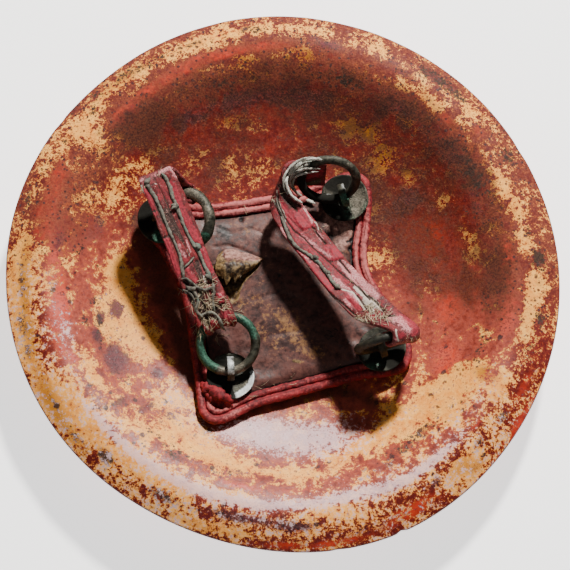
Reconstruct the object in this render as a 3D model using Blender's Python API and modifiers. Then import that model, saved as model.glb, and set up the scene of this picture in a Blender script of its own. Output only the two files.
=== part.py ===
"""Round leather buckler lying on its domed front, hand side up.

Dished leather body with a turned-back brim, stuffed knuckle pad bound with two red
rolls, four rings held by eyed staples over dished washers, two laced grip straps, and
four plain domed bosses on the front that the staple ends are riveted into.
Lengths are in millimetres here and turned to metres where meshes are made.
"""

import math

import bpy
import numpy as np
from mathutils import Matrix, Vector

MM = 0.001
GAP = 0.45  # clearance left between neighbouring pieces

# Leather body: inner surface from its slope, in degrees, at each radius
RIM_RADIUS = 190.0
LEATHER = 4.5
FLOOR_HEIGHT = 7.0
SLOPES = (
    (0, 0), (40, 4), (75, 9), (100, 16), (118, 23), (130, 29),
    (140, 32), (149, 28), (157, 16), (165, 0), (175, -14), (190, -27),
)
PROFILE_RADII = (0, 40, 75, 100, 118, 131, 143, 152, 159, 166, 176, 188.5)
OVAL_LONG, OVAL_SHORT, OVAL_TURN = 1.013, 0.987, math.radians(-45.8)
BODY_STEPS = 48

# Knuckle pad: outer edge of its binding, clockwise from the upper left corner
PAD_EDGE = (
    (-98, 49), (-93, 57.5), (-82, 59.5), (-58.5, 57), (-34, 60), (-9.6, 64), (15, 69.5),
    (36, 77.5), (47, 80), (57, 76.5), (61.2, 67.5), (61, 45), (58.2, 17.5), (66, -3),
    (80.5, -24), (87, -42), (88, -52), (83.5, -63), (72, -67), (51, -69), (25.6, -76),
    (1, -82.5), (-19.5, -89), (-31, -95.5), (-41, -100.5), (-50, -100.8), (-57.5, -93),
    (-59, -82), (-62, -61.5), (-65, -40.5), (-68.2, -19), (-75, 2), (-87, 24), (-97, 37),
)
PAD_POINTS = 43
PAD_CENTRE = (-4.0, -6.0)
PAD_THICK, PAD_BULGE = 9.8, 4.2
OUTER_ROLL, OUTER_ROLL_HEIGHT = 2.65, 6.2
INNER_ROLL, INNER_ROLL_HEIGHT, INNER_ROLL_INSET = 2.2, 7.6, 8.1

# Fastenings: washer centres on the pad
FEET = {
    "lower_left": (-36.6, -68.4),
    "upper_right": (42.9, 60.2),
    "lower_right": (68.0, -49.5),
    "upper_left": (-86.0, 43.1),
}
HOLE_RADIUS = 3.3
WASHER_RADIUS, WASHER_THICK, WASHER_DISH, WASHER_SEAT = 16.4, 1.2, 2.4, 10.4
BOSS_RADIUS, BOSS_WALL = 21.0, 1.3
BOSS_LINE = (21.0, 17.0, 11.0, 4.5)
SHANK = 4.0
EYE_OUTER, EYE_INNER, EYE_WIDTH = 8.4, 6.3, 4.8
RING_RADIUS, RING_TUBE = 19.0, 3.1

# Straps
STRAP_THICK, STRAP_HALF_WIDTH = 2.8, 12.0
LOOP_RADIUS = 5.75

VIEW_TILT = math.radians(15)


def inner_smooth(radius):
    """Height of the smooth inner surface at a radius."""
    radii = np.linspace(0, RIM_RADIUS, 381)
    slope = np.tan(np.radians(np.interp(radii, *zip(*SLOPES))))
    rise = np.concatenate([[0], np.cumsum((slope[1:] + slope[:-1]) / 2 * np.diff(radii))])
    return FLOOR_HEIGHT + np.interp(radius, radii, rise)


FACET_HEIGHTS = [float(inner_smooth(r)) for r in PROFILE_RADII]


def slope_at(radius):
    return math.radians(float(np.interp(radius, *zip(*SLOPES))))


def round_radius(x, y):
    """Radius of a point once the oval of the body is undone."""
    c, s = math.cos(OVAL_TURN), math.sin(OVAL_TURN)
    return math.hypot((c * x + s * y) / OVAL_LONG, (-s * x + c * y) / OVAL_SHORT)


def inner_at(x, y):
    """Height of the body's faceted inner surface."""
    return float(np.interp(round_radius(x, y), PROFILE_RADII, FACET_HEIGHTS))


def inward_normal(x, y):
    slope = slope_at(round_radius(x, y))
    away = Vector((x, y, 0)).normalized()
    return (Vector((0, 0, 1)) * math.cos(slope) - away * math.sin(slope)).normalized()


# ---------------------------------------------------------------- helpers
for old in list(bpy.data.objects):
    bpy.data.objects.remove(old, do_unlink=True)
scene = bpy.context.scene
parts = bpy.data.collections.new("leather_buckler")
cutters = bpy.data.collections.new("cutters")
for group in (parts, cutters):
    scene.collection.children.link(group)
cutters.hide_render = True

MATERIALS = {}


def material(name, colour, roughness, metallic=0.0):
    made = bpy.data.materials.new(name)
    made.use_nodes = True
    shader = made.node_tree.nodes["Principled BSDF"]
    shader.inputs["Base Color"].default_value = (*colour, 1)
    shader.inputs["Roughness"].default_value = roughness
    shader.inputs["Metallic"].default_value = metallic
    made.diffuse_color = (*colour, 1)
    return made


def finish(obj, look, group=parts):
    group.objects.link(obj)
    if group is cutters:
        obj.hide_render = True
        obj.display_type = "WIRE"
        return obj
    obj.data.materials.append(look)
    return obj


def smooth(obj, angle=45):
    obj.data.shade_smooth()
    obj.data.set_sharp_from_angle(angle=math.radians(angle))


def face_out(mesh):
    """Turns a closed mesh's faces outwards."""
    mesh.calc_loop_triangles()
    corners = np.array([[mesh.vertices[i].co for i in tri.vertices] for tri in mesh.loop_triangles])
    if np.linalg.det(corners).sum() < 0:
        mesh.flip_normals()


def loft(name, rings, look, caps=(None, None), group=parts):
    """Closed body through closed rings of equal point count. A cap is a centre point or, for None, one flat face."""
    count = len(rings[0])
    points = [p for ring in rings for p in ring]
    faces = []
    for level in range(len(rings) - 1):
        for k in range(count):
            a, b = level * count + k, level * count + (k + 1) % count
            faces.append((a, b, b + count, a + count))
    for level, cap, flip in ((0, caps[0], True), (len(rings) - 1, caps[1], False)):
        ids = [level * count + k for k in range(count)]
        if cap is None:
            faces.append(tuple(ids[::-1] if flip else ids))
        else:
            points.append(cap)
            hub = len(points) - 1
            for k in range(count):
                pair = (ids[k], ids[(k + 1) % count])
                faces.append((pair[1], pair[0], hub) if flip else (*pair, hub))
    mesh = bpy.data.meshes.new(name)
    mesh.from_pydata([tuple(c * MM for c in p) for p in points], [], faces)
    face_out(mesh)
    obj = bpy.data.objects.new(name, mesh)
    return finish(obj, look, group)


def turned(name, profile, steps, look, frame, group=parts):
    """Solid turned about the frame's Z from a closed or axis-to-axis profile of (radius, height)."""
    closed = profile[0][0] > 1e-6
    mesh = bpy.data.meshes.new(name)
    edges = [(i, i + 1) for i in range(len(profile) - 1)]
    if closed:
        edges.append((len(profile) - 1, 0))
    mesh.from_pydata([(r * MM, 0, z * MM) for r, z in profile], edges, [])
    obj = bpy.data.objects.new(name, mesh)
    finish(obj, look, group)
    screw = obj.modifiers.new("turn", "SCREW")
    screw.steps = screw.render_steps = steps
    screw.use_merge_vertices = True
    screw.merge_threshold = 0.00001
    screw.use_smooth_shade = True
    bpy.context.view_layer.update()
    graph = bpy.context.evaluated_depsgraph_get()
    solid = bpy.data.meshes.new_from_object(obj.evaluated_get(graph))
    face_out(solid)
    obj.modifiers.clear()
    obj.data = solid
    obj.matrix_world = frame
    return obj


def frame_at(origin, z_axis, x_hint=(1, 0, 0)):
    """Matrix in metres with the given Z axis and an X axis close to the hint."""
    z = Vector(z_axis).normalized()
    x = Vector(x_hint)
    x = (x - z * x.dot(z)).normalized()
    y = z.cross(x)
    made = Matrix((x, y, z)).transposed().to_4x4()
    made.translation = Vector(origin) * MM
    return made


def cut(obj, cutter, operation="DIFFERENCE"):
    step = obj.modifiers.new(cutter.name, "BOOLEAN")
    step.operation = operation
    step.object = cutter
    step.solver = "EXACT"


# ---------------------------------------------------------------- materials
red_buff = material("lacquered_leather", (0.52, 0.16, 0.07), 0.42)
pad_brown = material("pad_leather", (0.14, 0.06, 0.05), 0.6)
binding_red = material("binding_red", (0.36, 0.03, 0.03), 0.75)
strap_red = material("strap_red", (0.34, 0.05, 0.06), 0.7)
lace_grey = material("lace_grey", (0.28, 0.25, 0.21), 0.8)
dark_bronze = material("dark_bronze", (0.10, 0.11, 0.08), 0.5, 1.0)
grey_iron = material("grey_iron", (0.22, 0.22, 0.20), 0.45, 1.0)
boss_brass = material("boss_brass", (0.20, 0.15, 0.07), 0.5, 1.0)

# ---------------------------------------------------------------- leather body
inner_line = [(r, h) for r, h in zip(PROFILE_RADII, FACET_HEIGHTS)]
outer_line = []
for r, h in inner_line[:-1]:
    slope = slope_at(r)
    outer_line.append((max(r + LEATHER * math.sin(slope), 0), h - LEATHER * math.cos(slope)))
rim_r, rim_h = inner_line[-1]
# Rounded lip: the leather thins towards its cut edge
lip = [(RIM_RADIUS, rim_h - 1.4), (RIM_RADIUS - 0.5, rim_h - 3.0)]
under_brim = [(RIM_RADIUS - 3.2, rim_h - 3.6)]
body_line = inner_line + lip + under_brim + outer_line[::-1]
body_line[-1] = (0.0, FLOOR_HEIGHT - LEATHER)
shield_body = turned("shield_body", body_line, BODY_STEPS, red_buff, Matrix.Identity(4))
turn = Matrix.Rotation(OVAL_TURN, 4, "Z")
shield_body.data.transform(turn @ Matrix.Diagonal((OVAL_LONG, OVAL_SHORT, 1, 1)) @ turn.inverted())
smooth(shield_body, 50)


# ---------------------------------------------------------------- knuckle pad
def closed_spline(control, count):
    """Closed Catmull-Rom curve through the control points, evenly spaced."""
    control = np.array(control, float)
    n = len(control)
    fine = []
    for k in range(n):
        p0, p1, p2, p3 = (control[(k + j - 1) % n] for j in range(4))
        for t in np.linspace(0, 1, 40, endpoint=False):
            fine.append(0.5 * (2 * p1 + (p2 - p0) * t + (2 * p0 - 5 * p1 + 4 * p2 - p3) * t**2 + (3 * p1 - p0 - 3 * p2 + p3) * t**3))
    return even(np.array(fine), count)


def even(ring, count):
    loop = np.vstack([ring, ring[:1]])
    length = np.concatenate([[0], np.cumsum(np.linalg.norm(np.diff(loop, axis=0), axis=1))])
    at = np.linspace(0, length[-1], count, endpoint=False)
    return np.column_stack([np.interp(at, length, loop[:, i]) for i in range(2)])


def inset(ring, distance):
    """Closed ring moved inwards in small steps, eased so that tight corners don't fold over."""
    steps = max(1, int(distance / 0.25))
    ring = ring.copy()
    for _ in range(steps):
        ahead, behind = np.roll(ring, -1, 0), np.roll(ring, 1, 0)
        tangent = ahead - behind
        tangent /= np.linalg.norm(tangent, axis=1)[:, None]
        inward = np.column_stack([tangent[:, 1], -tangent[:, 0]])
        ring += inward * distance / steps
        ring += 0.12 * ((np.roll(ring, -1, 0) + np.roll(ring, 1, 0)) / 2 - ring)
    return ring


dense = closed_spline(PAD_EDGE, 420)
# More points where the edge bends
ahead, behind = np.roll(dense, -3, 0), np.roll(dense, 3, 0)
bend = np.abs(np.cross(ahead - dense, dense - behind)) / 3.0
weight = np.concatenate([[0], np.cumsum(1 + 1.1 * bend)])
picks = np.searchsorted(weight, np.linspace(0, weight[-1], PAD_POINTS, endpoint=False) + 1e-9)
picks = np.clip(picks, 0, len(dense) - 1)


centre = np.array(PAD_CENTRE)


def pad_ring(distance):
    """The pad's outline moved inwards: square to the edge at first, then towards the middle so that corners stay clean."""
    square = min(distance, 8.0)
    ring = inset(dense, square) if square else dense.copy()
    if distance > square:
        tangent = np.roll(ring, -1, 0) - np.roll(ring, 1, 0)
        tangent /= np.linalg.norm(tangent, axis=1)[:, None]
        inward = np.column_stack([tangent[:, 1], -tangent[:, 0]])
        middle = centre - ring
        middle /= np.linalg.norm(middle, axis=1)[:, None]
        share = 1 / np.clip((inward * middle).sum(1), 0.72, 1)
        ring = ring + middle * (share * (distance - square))[:, None]
    return ring[picks]


def edge_ring(distance, height):
    return [(x, y, inner_at(x, y) + height) for x, y in pad_ring(distance)]


def pad_top(x, y, edge_factor):
    """Top of the stuffed pad: even near the washers, fuller between them."""
    full = edge_factor
    for fx, fy in FEET.values():
        t = min(max((math.hypot(x - fx, y - fy) - 18) / 26, 0), 1)
        full *= t * t * (3 - 2 * t)
    return inner_at(x, y) + PAD_THICK + PAD_BULGE * full


top_edge = pad_ring(12.4)


def inner_ring(ring, share, height):
    made = []
    for p in ring:
        x, y = centre + (p - centre) * share
        if height is None:
            made.append((x, y, pad_top(x, y, min(1, (1 - share) * 2.6))))
        else:
            made.append((x, y, inner_at(x, y) + height))
    return made


pad_rings = [
    inner_ring(top_edge, 0.3, GAP),
    inner_ring(top_edge, 0.66, GAP),
    edge_ring(8.0, GAP),
    edge_ring(1.3, GAP),
    edge_ring(1.3, 2.9),
    edge_ring(5.2, 3.0),
    edge_ring(7.0, 4.5),
    edge_ring(11.0, 4.6),
    [(x, y, inner_at(x, y) + 8.4) for x, y in top_edge],
    inner_ring(top_edge, 0.96, None),
    inner_ring(top_edge, 0.8, None),
    inner_ring(top_edge, 0.55, None),
    inner_ring(top_edge, 0.27, None),
]
cx, cy = PAD_CENTRE
knuckle_pad = loft(
    "knuckle_pad", pad_rings, pad_brown,
    ((cx, cy, inner_at(cx, cy) + GAP), (cx, cy, pad_top(cx, cy, 1))),
)
smooth(knuckle_pad, 50)


def roll(name, distance, height, radius):
    """Closed roll of the pad's binding."""
    line = bpy.data.curves.new(name, "CURVE")
    line.dimensions = "3D"
    line.bevel_depth = radius * MM
    line.bevel_resolution = 1
    ring = edge_ring(distance, height)
    path = line.splines.new("POLY")
    path.points.add(len(ring) - 1)
    for point, p in zip(path.points, ring):
        point.co = (*(c * MM for c in p), 1)
    path.use_cyclic_u = True
    guide = bpy.data.objects.new(name + "_line", line)
    cutters.objects.link(guide)
    bpy.context.view_layer.update()
    graph = bpy.context.evaluated_depsgraph_get()
    mesh = bpy.data.meshes.new_from_object(guide.evaluated_get(graph))
    bpy.data.objects.remove(guide, do_unlink=True)
    made = bpy.data.objects.new(name, mesh)
    finish(made, binding_red)
    smooth(made, 70)
    return made


edge_roll_outer = roll("edge_roll_outer", 2.7, OUTER_ROLL_HEIGHT, OUTER_ROLL)
edge_roll_inner = roll("edge_roll_inner", INNER_ROLL_INSET, INNER_ROLL_HEIGHT, INNER_ROLL)


# ---------------------------------------------------------------- fastenings
RIGHT = Vector((1, 0, 0))
TILTED_UP = Vector((0, math.cos(VIEW_TILT), math.sin(VIEW_TILT)))
FACING = Vector((0, -math.sin(VIEW_TILT), math.cos(VIEW_TILT)))


def tilted(angle):
    """In-plane up direction and normal of a ring whose far side is raised by the angle."""
    a = math.radians(angle)
    return Vector((0, math.cos(a), math.sin(a))), Vector((0, -math.sin(a), math.cos(a)))


# For each ring: direction from the staple's eye to the ring's centre, and the ring's normal
steep_up, steep_normal = tilted(62)
low_right_pull = Vector((0.10, -0.05, 0.99)).normalized()
low_right_along = Vector((0.953, 0.29, -0.08)).normalized()
up_left_pull = (RIGHT * 0.866 + FACING * 0.5 + TILTED_UP * -0.10).normalized()
RING_SET = {
    "lower_left": (RIGHT * -0.10 + TILTED_UP * 0.99, FACING),
    "upper_right": (RIGHT * -0.56 + steep_up * 0.83, steep_normal),
    "lower_right": (low_right_pull, low_right_along.cross(low_right_pull)),
    "upper_left": (up_left_pull, up_left_pull.cross(TILTED_UP)),
}
# How far each eye leans from the shank towards its ring, in degrees
LEAN = {"lower_left": 20, "upper_right": 4, "lower_right": 4, "upper_left": 8}
RINGS = {}


def dome(h, rim):
    """Outer line of a boss of this dome height, from its rim inwards."""
    ball = (BOSS_RADIUS**2 + h * h) / (2 * h)
    return [(r, rim + (ball - h) - math.sqrt(ball**2 - r**2)) for r in BOSS_LINE]


def boss_height(base_z, tilt, rim):
    """Dome height for which the boss's lowest corner is just under the ground plane."""
    low, high = 4.0, 22.0
    for _ in range(60):
        h = (low + high) / 2
        lowest = min(base_z + z * math.cos(tilt) - r * math.sin(tilt) for r, z in dome(h, rim))
        low, high = (h, high) if lowest > -0.32 else (low, h)
    return (low + high) / 2


ground = bpy.data.meshes.new("ground_cut")
side = 0.5
ground.from_pydata(
    [(x * side, y * side, z) for z in (-0.05, 0) for x, y in ((-1, -1), (1, -1), (1, 1), (-1, 1))],
    [],
    [(3, 2, 1, 0), (4, 5, 6, 7), (0, 1, 5, 4), (1, 2, 6, 5), (2, 3, 7, 6), (3, 0, 4, 7)],
)
ground_cut = finish(bpy.data.objects.new("ground_cut", ground), None, cutters)

for place, (fx, fy) in FEET.items():
    normal = inward_normal(fx, fy)
    tilt = slope_at(round_radius(fx, fy))
    surface = Vector((fx, fy, 0)) + Vector((0, 0, inner_at(fx, fy)))
    # The washer sits at (fx, fy) on top of the pad, so the axis starts a little further out below it
    base = surface + Vector((normal.x, normal.y, 0)) * -WASHER_SEAT
    base.z = inner_at(base.x, base.y)
    stack = frame_at(base, normal)

    pull, ring_normal = RING_SET[place]
    pull = pull.normalized()
    ring_normal = (ring_normal - pull * ring_normal.dot(pull)).normalized()
    tangent = ring_normal.cross(pull).normalized()

    # Hole through body and pad
    bore = [(0, 14), (HOLE_RADIUS, 14), (HOLE_RADIUS, -9), (0, -9)]
    drill = turned(f"drill_{place}", bore, 10, None, stack, cutters)
    cut(shield_body, drill)
    cut(knuckle_pad, drill)
    if place == "upper_left":
        # This shank comes up through the inner roll, which stops on either side of it
        wide_bore = [(0, 20), (5.4, 20), (5.4, -2), (0, -2)]
        cut(edge_roll_inner, turned("drill_roll", wide_bore, 10, None, stack, cutters))

    # Dished washer
    dish = []
    for r in (WASHER_RADIUS, 9.0, HOLE_RADIUS + 0.3):
        dish.append((r, WASHER_SEAT + WASHER_THICK + WASHER_DISH * (r / WASHER_RADIUS) ** 2))
    under = [(r, z - WASHER_THICK) for r, z in dish[::-1]]
    washer = turned(f"washer_{place}", dish[::-1] + [(WASHER_RADIUS + 0.2, dish[0][1] - 0.6)] + under[::-1], 16, dark_bronze, stack)
    smooth(washer, 50)

    # Hollow domed boss on the front, open towards the leather
    rim = -LEATHER - 0.15
    h = boss_height(base.z, tilt, rim)
    ball = (BOSS_RADIUS**2 + h * h) / (2 * h)
    inside = [(r, rim + (ball - h) - math.sqrt((ball - BOSS_WALL) ** 2 - r**2)) for r in BOSS_LINE[:0:-1]]
    inside.append((BOSS_RADIUS - 1.4, rim))
    boss = turned(f"front_boss_{place}", dome(h, rim) + inside, 18, boss_brass, stack)
    cut(boss, ground_cut)
    smooth(boss, 50)

    # Staple: square shank through everything, eye round the ring
    foot = base + normal * (WASHER_SEAT + WASHER_THICK + 2.4)
    lean = math.radians(LEAN[place])
    across = (pull - normal * pull.dot(normal)).normalized()
    rise = (normal * math.cos(lean) + across * math.sin(lean)).normalized()
    eye_axis = (tangent - rise * tangent.dot(rise)).normalized()
    eye_centre = foot + rise * (EYE_INNER + 0.9)
    eye_frame = frame_at(eye_centre, eye_axis, rise)
    half = EYE_WIDTH / 2
    band = [(EYE_INNER, half), (EYE_OUTER, half), (EYE_OUTER, -half), (EYE_INNER, -half)]
    staple = turned(f"staple_{place}", band, 14, grey_iron, eye_frame)
    smooth(staple, 40)
    top, bottom = WASHER_SEAT + WASHER_THICK + 2.5, rim - h + 0.65
    shank_mesh = bpy.data.meshes.new(f"shank_{place}")
    a = SHANK / 2
    box = [(x * a * MM, y * a * MM, z * MM) for z in (bottom, top) for x, y in ((-1, -1), (1, -1), (1, 1), (-1, 1))]
    shank_mesh.from_pydata(
        box, [],
        [(3, 2, 1, 0), (4, 5, 6, 7), (0, 1, 5, 4), (1, 2, 6, 5), (2, 3, 7, 6), (3, 0, 4, 7)],
    )
    shank = finish(bpy.data.objects.new(f"shank_{place}", shank_mesh), None, cutters)
    shank.matrix_world = frame_at(base, normal, eye_axis)
    cut(staple, shank, "UNION")

    # Ring, resting low in its eye
    skew = tangent.angle(eye_axis)
    slack = EYE_INNER - RING_TUBE / math.cos(skew) - half * math.tan(skew) - 0.55
    ring_centre = eye_centre - rise * slack + pull * RING_RADIUS
    bpy.ops.mesh.primitive_torus_add(
        major_segments=18, minor_segments=8,
        major_radius=RING_RADIUS * MM, minor_radius=RING_TUBE * MM,
    )
    ring = bpy.context.object
    ring.name = ring.data.name = f"ring_{place}"
    for group in list(ring.users_collection):
        group.objects.unlink(ring)
    finish(ring, dark_bronze)
    ring.matrix_world = frame_at(ring_centre, ring_normal, pull)
    smooth(ring, 80)
    RINGS[place] = (ring_centre, ring_normal)


# ---------------------------------------------------------------- straps
COLUMNS = (-1.0, -0.5, 0.0, 0.5, 1.0)
STEEPEST = math.radians(44)


def row(middle, wide, half):
    """Straight cross row of a band."""
    wide = Vector(wide).normalized()
    return [Vector(middle) + wide * (v * half) for v in COLUMNS]


def ring_point(place, direction):
    """Tube centre on a ring in a direction from the ring's centre, with outward and tangent directions."""
    middle, normal = RINGS[place]
    out = Vector(direction)
    out = (out - normal * out.dot(normal)).normalized()
    return middle + out * RING_RADIUS, out, normal.cross(out).normalized(), normal


def round_row(place, direction, outward, above, half, share=1.0):
    """Cross row that follows a ring's curve, at a distance outwards from its tube's centre and along its normal."""
    at, out, tangent, normal = ring_point(place, direction)
    reach = RING_RADIUS + outward
    widest = min(STEEPEST, math.asin(min(half / reach, 1)))
    made = []
    for v in COLUMNS:
        curved = out * (reach * math.cos(v * widest) - RING_RADIUS) - tangent * (reach * math.sin(v * widest))
        flat = out * outward - tangent * (v * half)
        made.append(at + flat.lerp(curved, share) + normal * above)
    return made


def curl(place, direction, start, end, steps, radius=LOOP_RADIUS, half=11.5):
    """Rows round a ring's tube. Angles run from the outward direction towards the ring's normal."""
    angles = [math.radians(start + (end - start) * k / steps) for k in range(steps + 1)]
    return [round_row(place, direction, radius * math.cos(a), radius * math.sin(a), half) for a in angles]


def ribbon(name, grid, thick, look):
    """Closed band through cross rows of points."""
    rows, cols = len(grid), len(COLUMNS)
    rings = []
    for i in range(rows):
        up_row, low_row = [], []
        for j in range(cols):
            along = grid[min(i + 1, rows - 1)][j] - grid[max(i - 1, 0)][j]
            side_way = grid[i][min(j + 1, cols - 1)] - grid[i][max(j - 1, 0)]
            n = side_way.cross(along).normalized()
            up_row.append(grid[i][j] + n * thick / 2)
            low_row.append(grid[i][j] - n * thick / 2)
        rings.append(up_row + low_row[::-1])
    return loft(name, rings, look)


def between(first, last, share, middle):
    """Row part of the way from one row to another, moved to its own middle point."""
    mixed = [a.lerp(b, share) for a, b in zip(first, last)]
    shift = Vector(middle) - mixed[2]
    return [p + shift for p in mixed]


def tipped(line, turn, drop):
    """Row with its right edge hanging lower, so that the band faces the upper right."""
    return [p + FACING * (v * turn - drop) for p, v in zip(line, COLUMNS)]


towards_strap = RIGHT * -0.37 + TILTED_UP * 0.93
top_right_side = low_right_pull * math.cos(math.radians(30)) + low_right_along * math.sin(math.radians(30))
W = STRAP_HALF_WIDTH

# Left strap: lap under the lower ring, round it, straight up to a sharp shoulder, down and round the upper ring
lower_loop = curl("lower_left", towards_strap, 295, 75, 8)
lap = round_row("lower_left", towards_strap, 13, -4.4, 11.5, 0.6)
span = [
    row((-60.6, -1.5, 57.0), (0.93, 0.36, 0.03), W),
    row((-70.6, 24.0, 64.5), (0.93, 0.36, 0.03), W),
    row((-78.1, 42.3, 69.6), (0.93, 0.34, 0.08), W),
    row((-84.8, 56.4, 73.0), (0.92, 0.36, 0.02), W),
    row((-87.2, 61.4, 72.4), (0.92, 0.38, 0.04), 11.5),
    row((-87.2, 63.8, 69.0), (0.92, 0.36, 0.12), 11.5),
    row((-84.2, 64.8, 61.5), (0.90, 0.30, 0.28), 11.5),
]
upper_loop = curl("upper_left", towards_strap, 8, -215, 7)
LEFT_TIPS = ((-4.5, 2.0), (-6.0, 3.0), (-6.0, 3.5), (-4.5, 3.0), (-3.0, 2.0), (-1.5, 1.0), (-0.5, 0.3))
span = [tipped(line, *tip) for line, tip in zip(span, LEFT_TIPS)]
left_rows = (
    [lap] + lower_loop
    + [
        between(lower_loop[-1], span[0], 0.35, (-50.0, -21.5, 49.6)),
        between(lower_loop[-1], span[0], 0.7, (-53.8, -14.0, 52.4)),
    ]
    + span
    + [between(span[-1], upper_loop[0], 0.6, (-79.6, 63.8, 53.4))]
    + upper_loop
)
grip_strap_left = ribbon("grip_strap_left", left_rows, STRAP_THICK, strap_red)
smooth(grip_strap_left, 55)

# Right strap: tongue inside the upper ring, on edge behind its tube, a turn, then flatter to the lower ring
ring_left = RIGHT * -1 + steep_up * 0.05
under = [round_row("upper_right", ring_left, d, -5.6, h, 0.0) for d, h in ((-17, 10.5), (-8, 11), (1, 11.5))]
turn_rows = [
    row((4.4, 71.4, 45.6), (0.12, 0.45, 0.88), 11.5),
    row((-0.6, 67.6, 47.6), (0.20, 0.48, 0.86), W),
    row((-3.6, 61.0, 49.3), (0.32, 0.49, 0.80), W),
    row((-3.2, 54.0, 50.4), (0.46, 0.50, 0.72), W),
    row((-0.8, 47.8, 51.2), (0.57, 0.55, 0.62), W),
    row((3.2, 41.0, 51.4), (0.63, 0.59, 0.50), W),
    row((9.0, 32.4, 51.8), (0.65, 0.62, 0.45), W),
    row((24.6, 11.8, 53.0), (0.62, 0.68, 0.40), W),
    row((34.8, -2.3, 55.0), (0.59, 0.73, 0.33), W),
    row((45.9, -16.1, 58.4), (0.57, 0.78, 0.24), W),
    row((56.1, -27.0, 63.4), (0.59, 0.79, 0.16), W),
]
RIGHT_TIPS = ((0, 0), (0, 0), (-1.5, 0.5), (-3.5, 1.2), (-5.5, 2.0), (-7.0, 3.0), (-8.0, 4.0), (-8.5, 4.5), (-8.0, 4.5), (-6.5, 4.0), (-4.0, 2.5))
turn_rows = [tipped(line, *tip) for line, tip in zip(turn_rows, RIGHT_TIPS)]
over_loop = curl("lower_right", top_right_side, -20, 222, 8)
rise_rows = [
    between(turn_rows[-1], over_loop[0], 0.4, (65.4, -34.2, 67.4)),
    between(turn_rows[-1], over_loop[0], 0.75, (73.6, -39.6, 69.8)),
]
right_rows = under + turn_rows + rise_rows + over_loop
grip_strap_right = ribbon("grip_strap_right", right_rows, STRAP_THICK, strap_red)
smooth(grip_strap_right, 55)

# Lacing that holds the upper right ring's tube down on the strap
lacing = curl("upper_right", ring_left, -12, 192, 6, radius=4.6, half=9.0)
ring_lacing = ribbon("ring_lacing_upper_right", lacing, 1.2, lace_grey)
smooth(ring_lacing, 55)
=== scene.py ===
"""Looks of the round leather buckler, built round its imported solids.

Work is in millimetres in code and turned to metres where meshes are made.
"""

import math

import bmesh
import bpy
import numpy as np
from mathutils import Matrix, Vector
from mathutils.bvhtree import BVHTree


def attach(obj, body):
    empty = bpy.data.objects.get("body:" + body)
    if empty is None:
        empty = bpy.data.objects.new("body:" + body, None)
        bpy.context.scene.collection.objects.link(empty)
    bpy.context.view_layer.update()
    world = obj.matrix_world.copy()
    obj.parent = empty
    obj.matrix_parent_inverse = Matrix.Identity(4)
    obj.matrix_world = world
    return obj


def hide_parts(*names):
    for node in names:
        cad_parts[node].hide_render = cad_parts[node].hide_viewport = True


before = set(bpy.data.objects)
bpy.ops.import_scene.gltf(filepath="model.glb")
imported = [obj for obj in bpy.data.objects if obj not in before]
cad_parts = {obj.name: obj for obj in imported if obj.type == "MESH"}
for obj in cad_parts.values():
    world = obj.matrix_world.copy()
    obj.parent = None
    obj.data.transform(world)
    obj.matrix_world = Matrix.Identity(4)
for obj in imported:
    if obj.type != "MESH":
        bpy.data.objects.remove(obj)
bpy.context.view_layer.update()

MM = 0.001

# ---------------------------------------------------------------- camera, shared by the placing helpers
TILT = math.radians(15)
AIM = Vector((0.94, -6.5, 38.0))
DISTANCE = 1500.0
LENS, SENSOR, IMAGE = 138.1, 36.0, 570
BACK = Vector((0, -math.sin(TILT), math.cos(TILT)))
EYE = AIM + BACK * DISTANCE
UP = Vector((0, math.cos(TILT), math.sin(TILT)))
PIXELS = LENS / SENSOR * IMAGE


def ray(px, py):
    """Direction from the camera through a point of the picture."""
    return (Vector((1, 0, 0)) * (px - IMAGE / 2) / PIXELS + UP * (IMAGE / 2 - py) / PIXELS - BACK).normalized()


def at_height(px, py, z):
    d = ray(px, py)
    return EYE + d * ((z - EYE.z) / d.z)


# ---------------------------------------------------------------- noise for shapes
def _hash(i, j, k, seed):
    n = (i * 374761393 + j * 668265263 + k * 2147483647 + seed * 1274126177) & 0xFFFFFFFF
    n = ((n ^ (n >> 13)) * 1274126177) & 0xFFFFFFFF
    n = (n ^ (n >> 16)) & 0xFFFFFFFF
    return n.astype(np.float64) / 0xFFFFFFFF


def value_noise(p, seed=0):
    """Smooth noise from -1 to 1 at points (n, 3)."""
    p = np.asarray(p, float)
    base = np.floor(p).astype(np.int64)
    f = p - base
    f = f * f * f * (f * (f * 6 - 15) + 10)
    total = 0
    for dx in (0, 1):
        for dy in (0, 1):
            for dz in (0, 1):
                w = np.abs(1 - dx - f[:, 0]) * np.abs(1 - dy - f[:, 1]) * np.abs(1 - dz - f[:, 2])
                total = total + w * _hash(base[:, 0] + dx, base[:, 1] + dy, base[:, 2] + dz, seed)
    return total * 2 - 1


def fbm(p, size, octaves=4, gain=0.5, seed=0):
    """Layered noise with features of about this size in millimetres, roughly -1 to 1."""
    p = np.atleast_2d(np.asarray(p, float)) / size
    total, weight, norm = 0, 1.0, 0.0
    for o in range(octaves):
        total = total + weight * value_noise(p * 2**o + 17.3 * o, seed + 101 * o)
        norm += weight
        weight *= gain
    return total / norm


def ease(x, a, b):
    t = np.clip((np.asarray(x, float) - a) / (b - a), 0, 1)
    return t * t * (3 - 2 * t)


# ---------------------------------------------------------------- form shared with the solids
RIM_RADIUS = 190.0
LEATHER = 4.5
FLOOR_HEIGHT = 7.0
SLOPES = (
    (0, 0), (40, 4), (75, 9), (100, 16), (118, 23), (130, 29),
    (140, 32), (149, 28), (157, 16), (165, 0), (175, -14), (190, -27),
)
LINE_R = np.linspace(0, RIM_RADIUS, 381)
_slope = np.tan(np.radians(np.interp(LINE_R, *zip(*SLOPES))))
LINE_Z = FLOOR_HEIGHT + np.concatenate([[0], np.cumsum((_slope[1:] + _slope[:-1]) / 2 * np.diff(LINE_R))])
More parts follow.
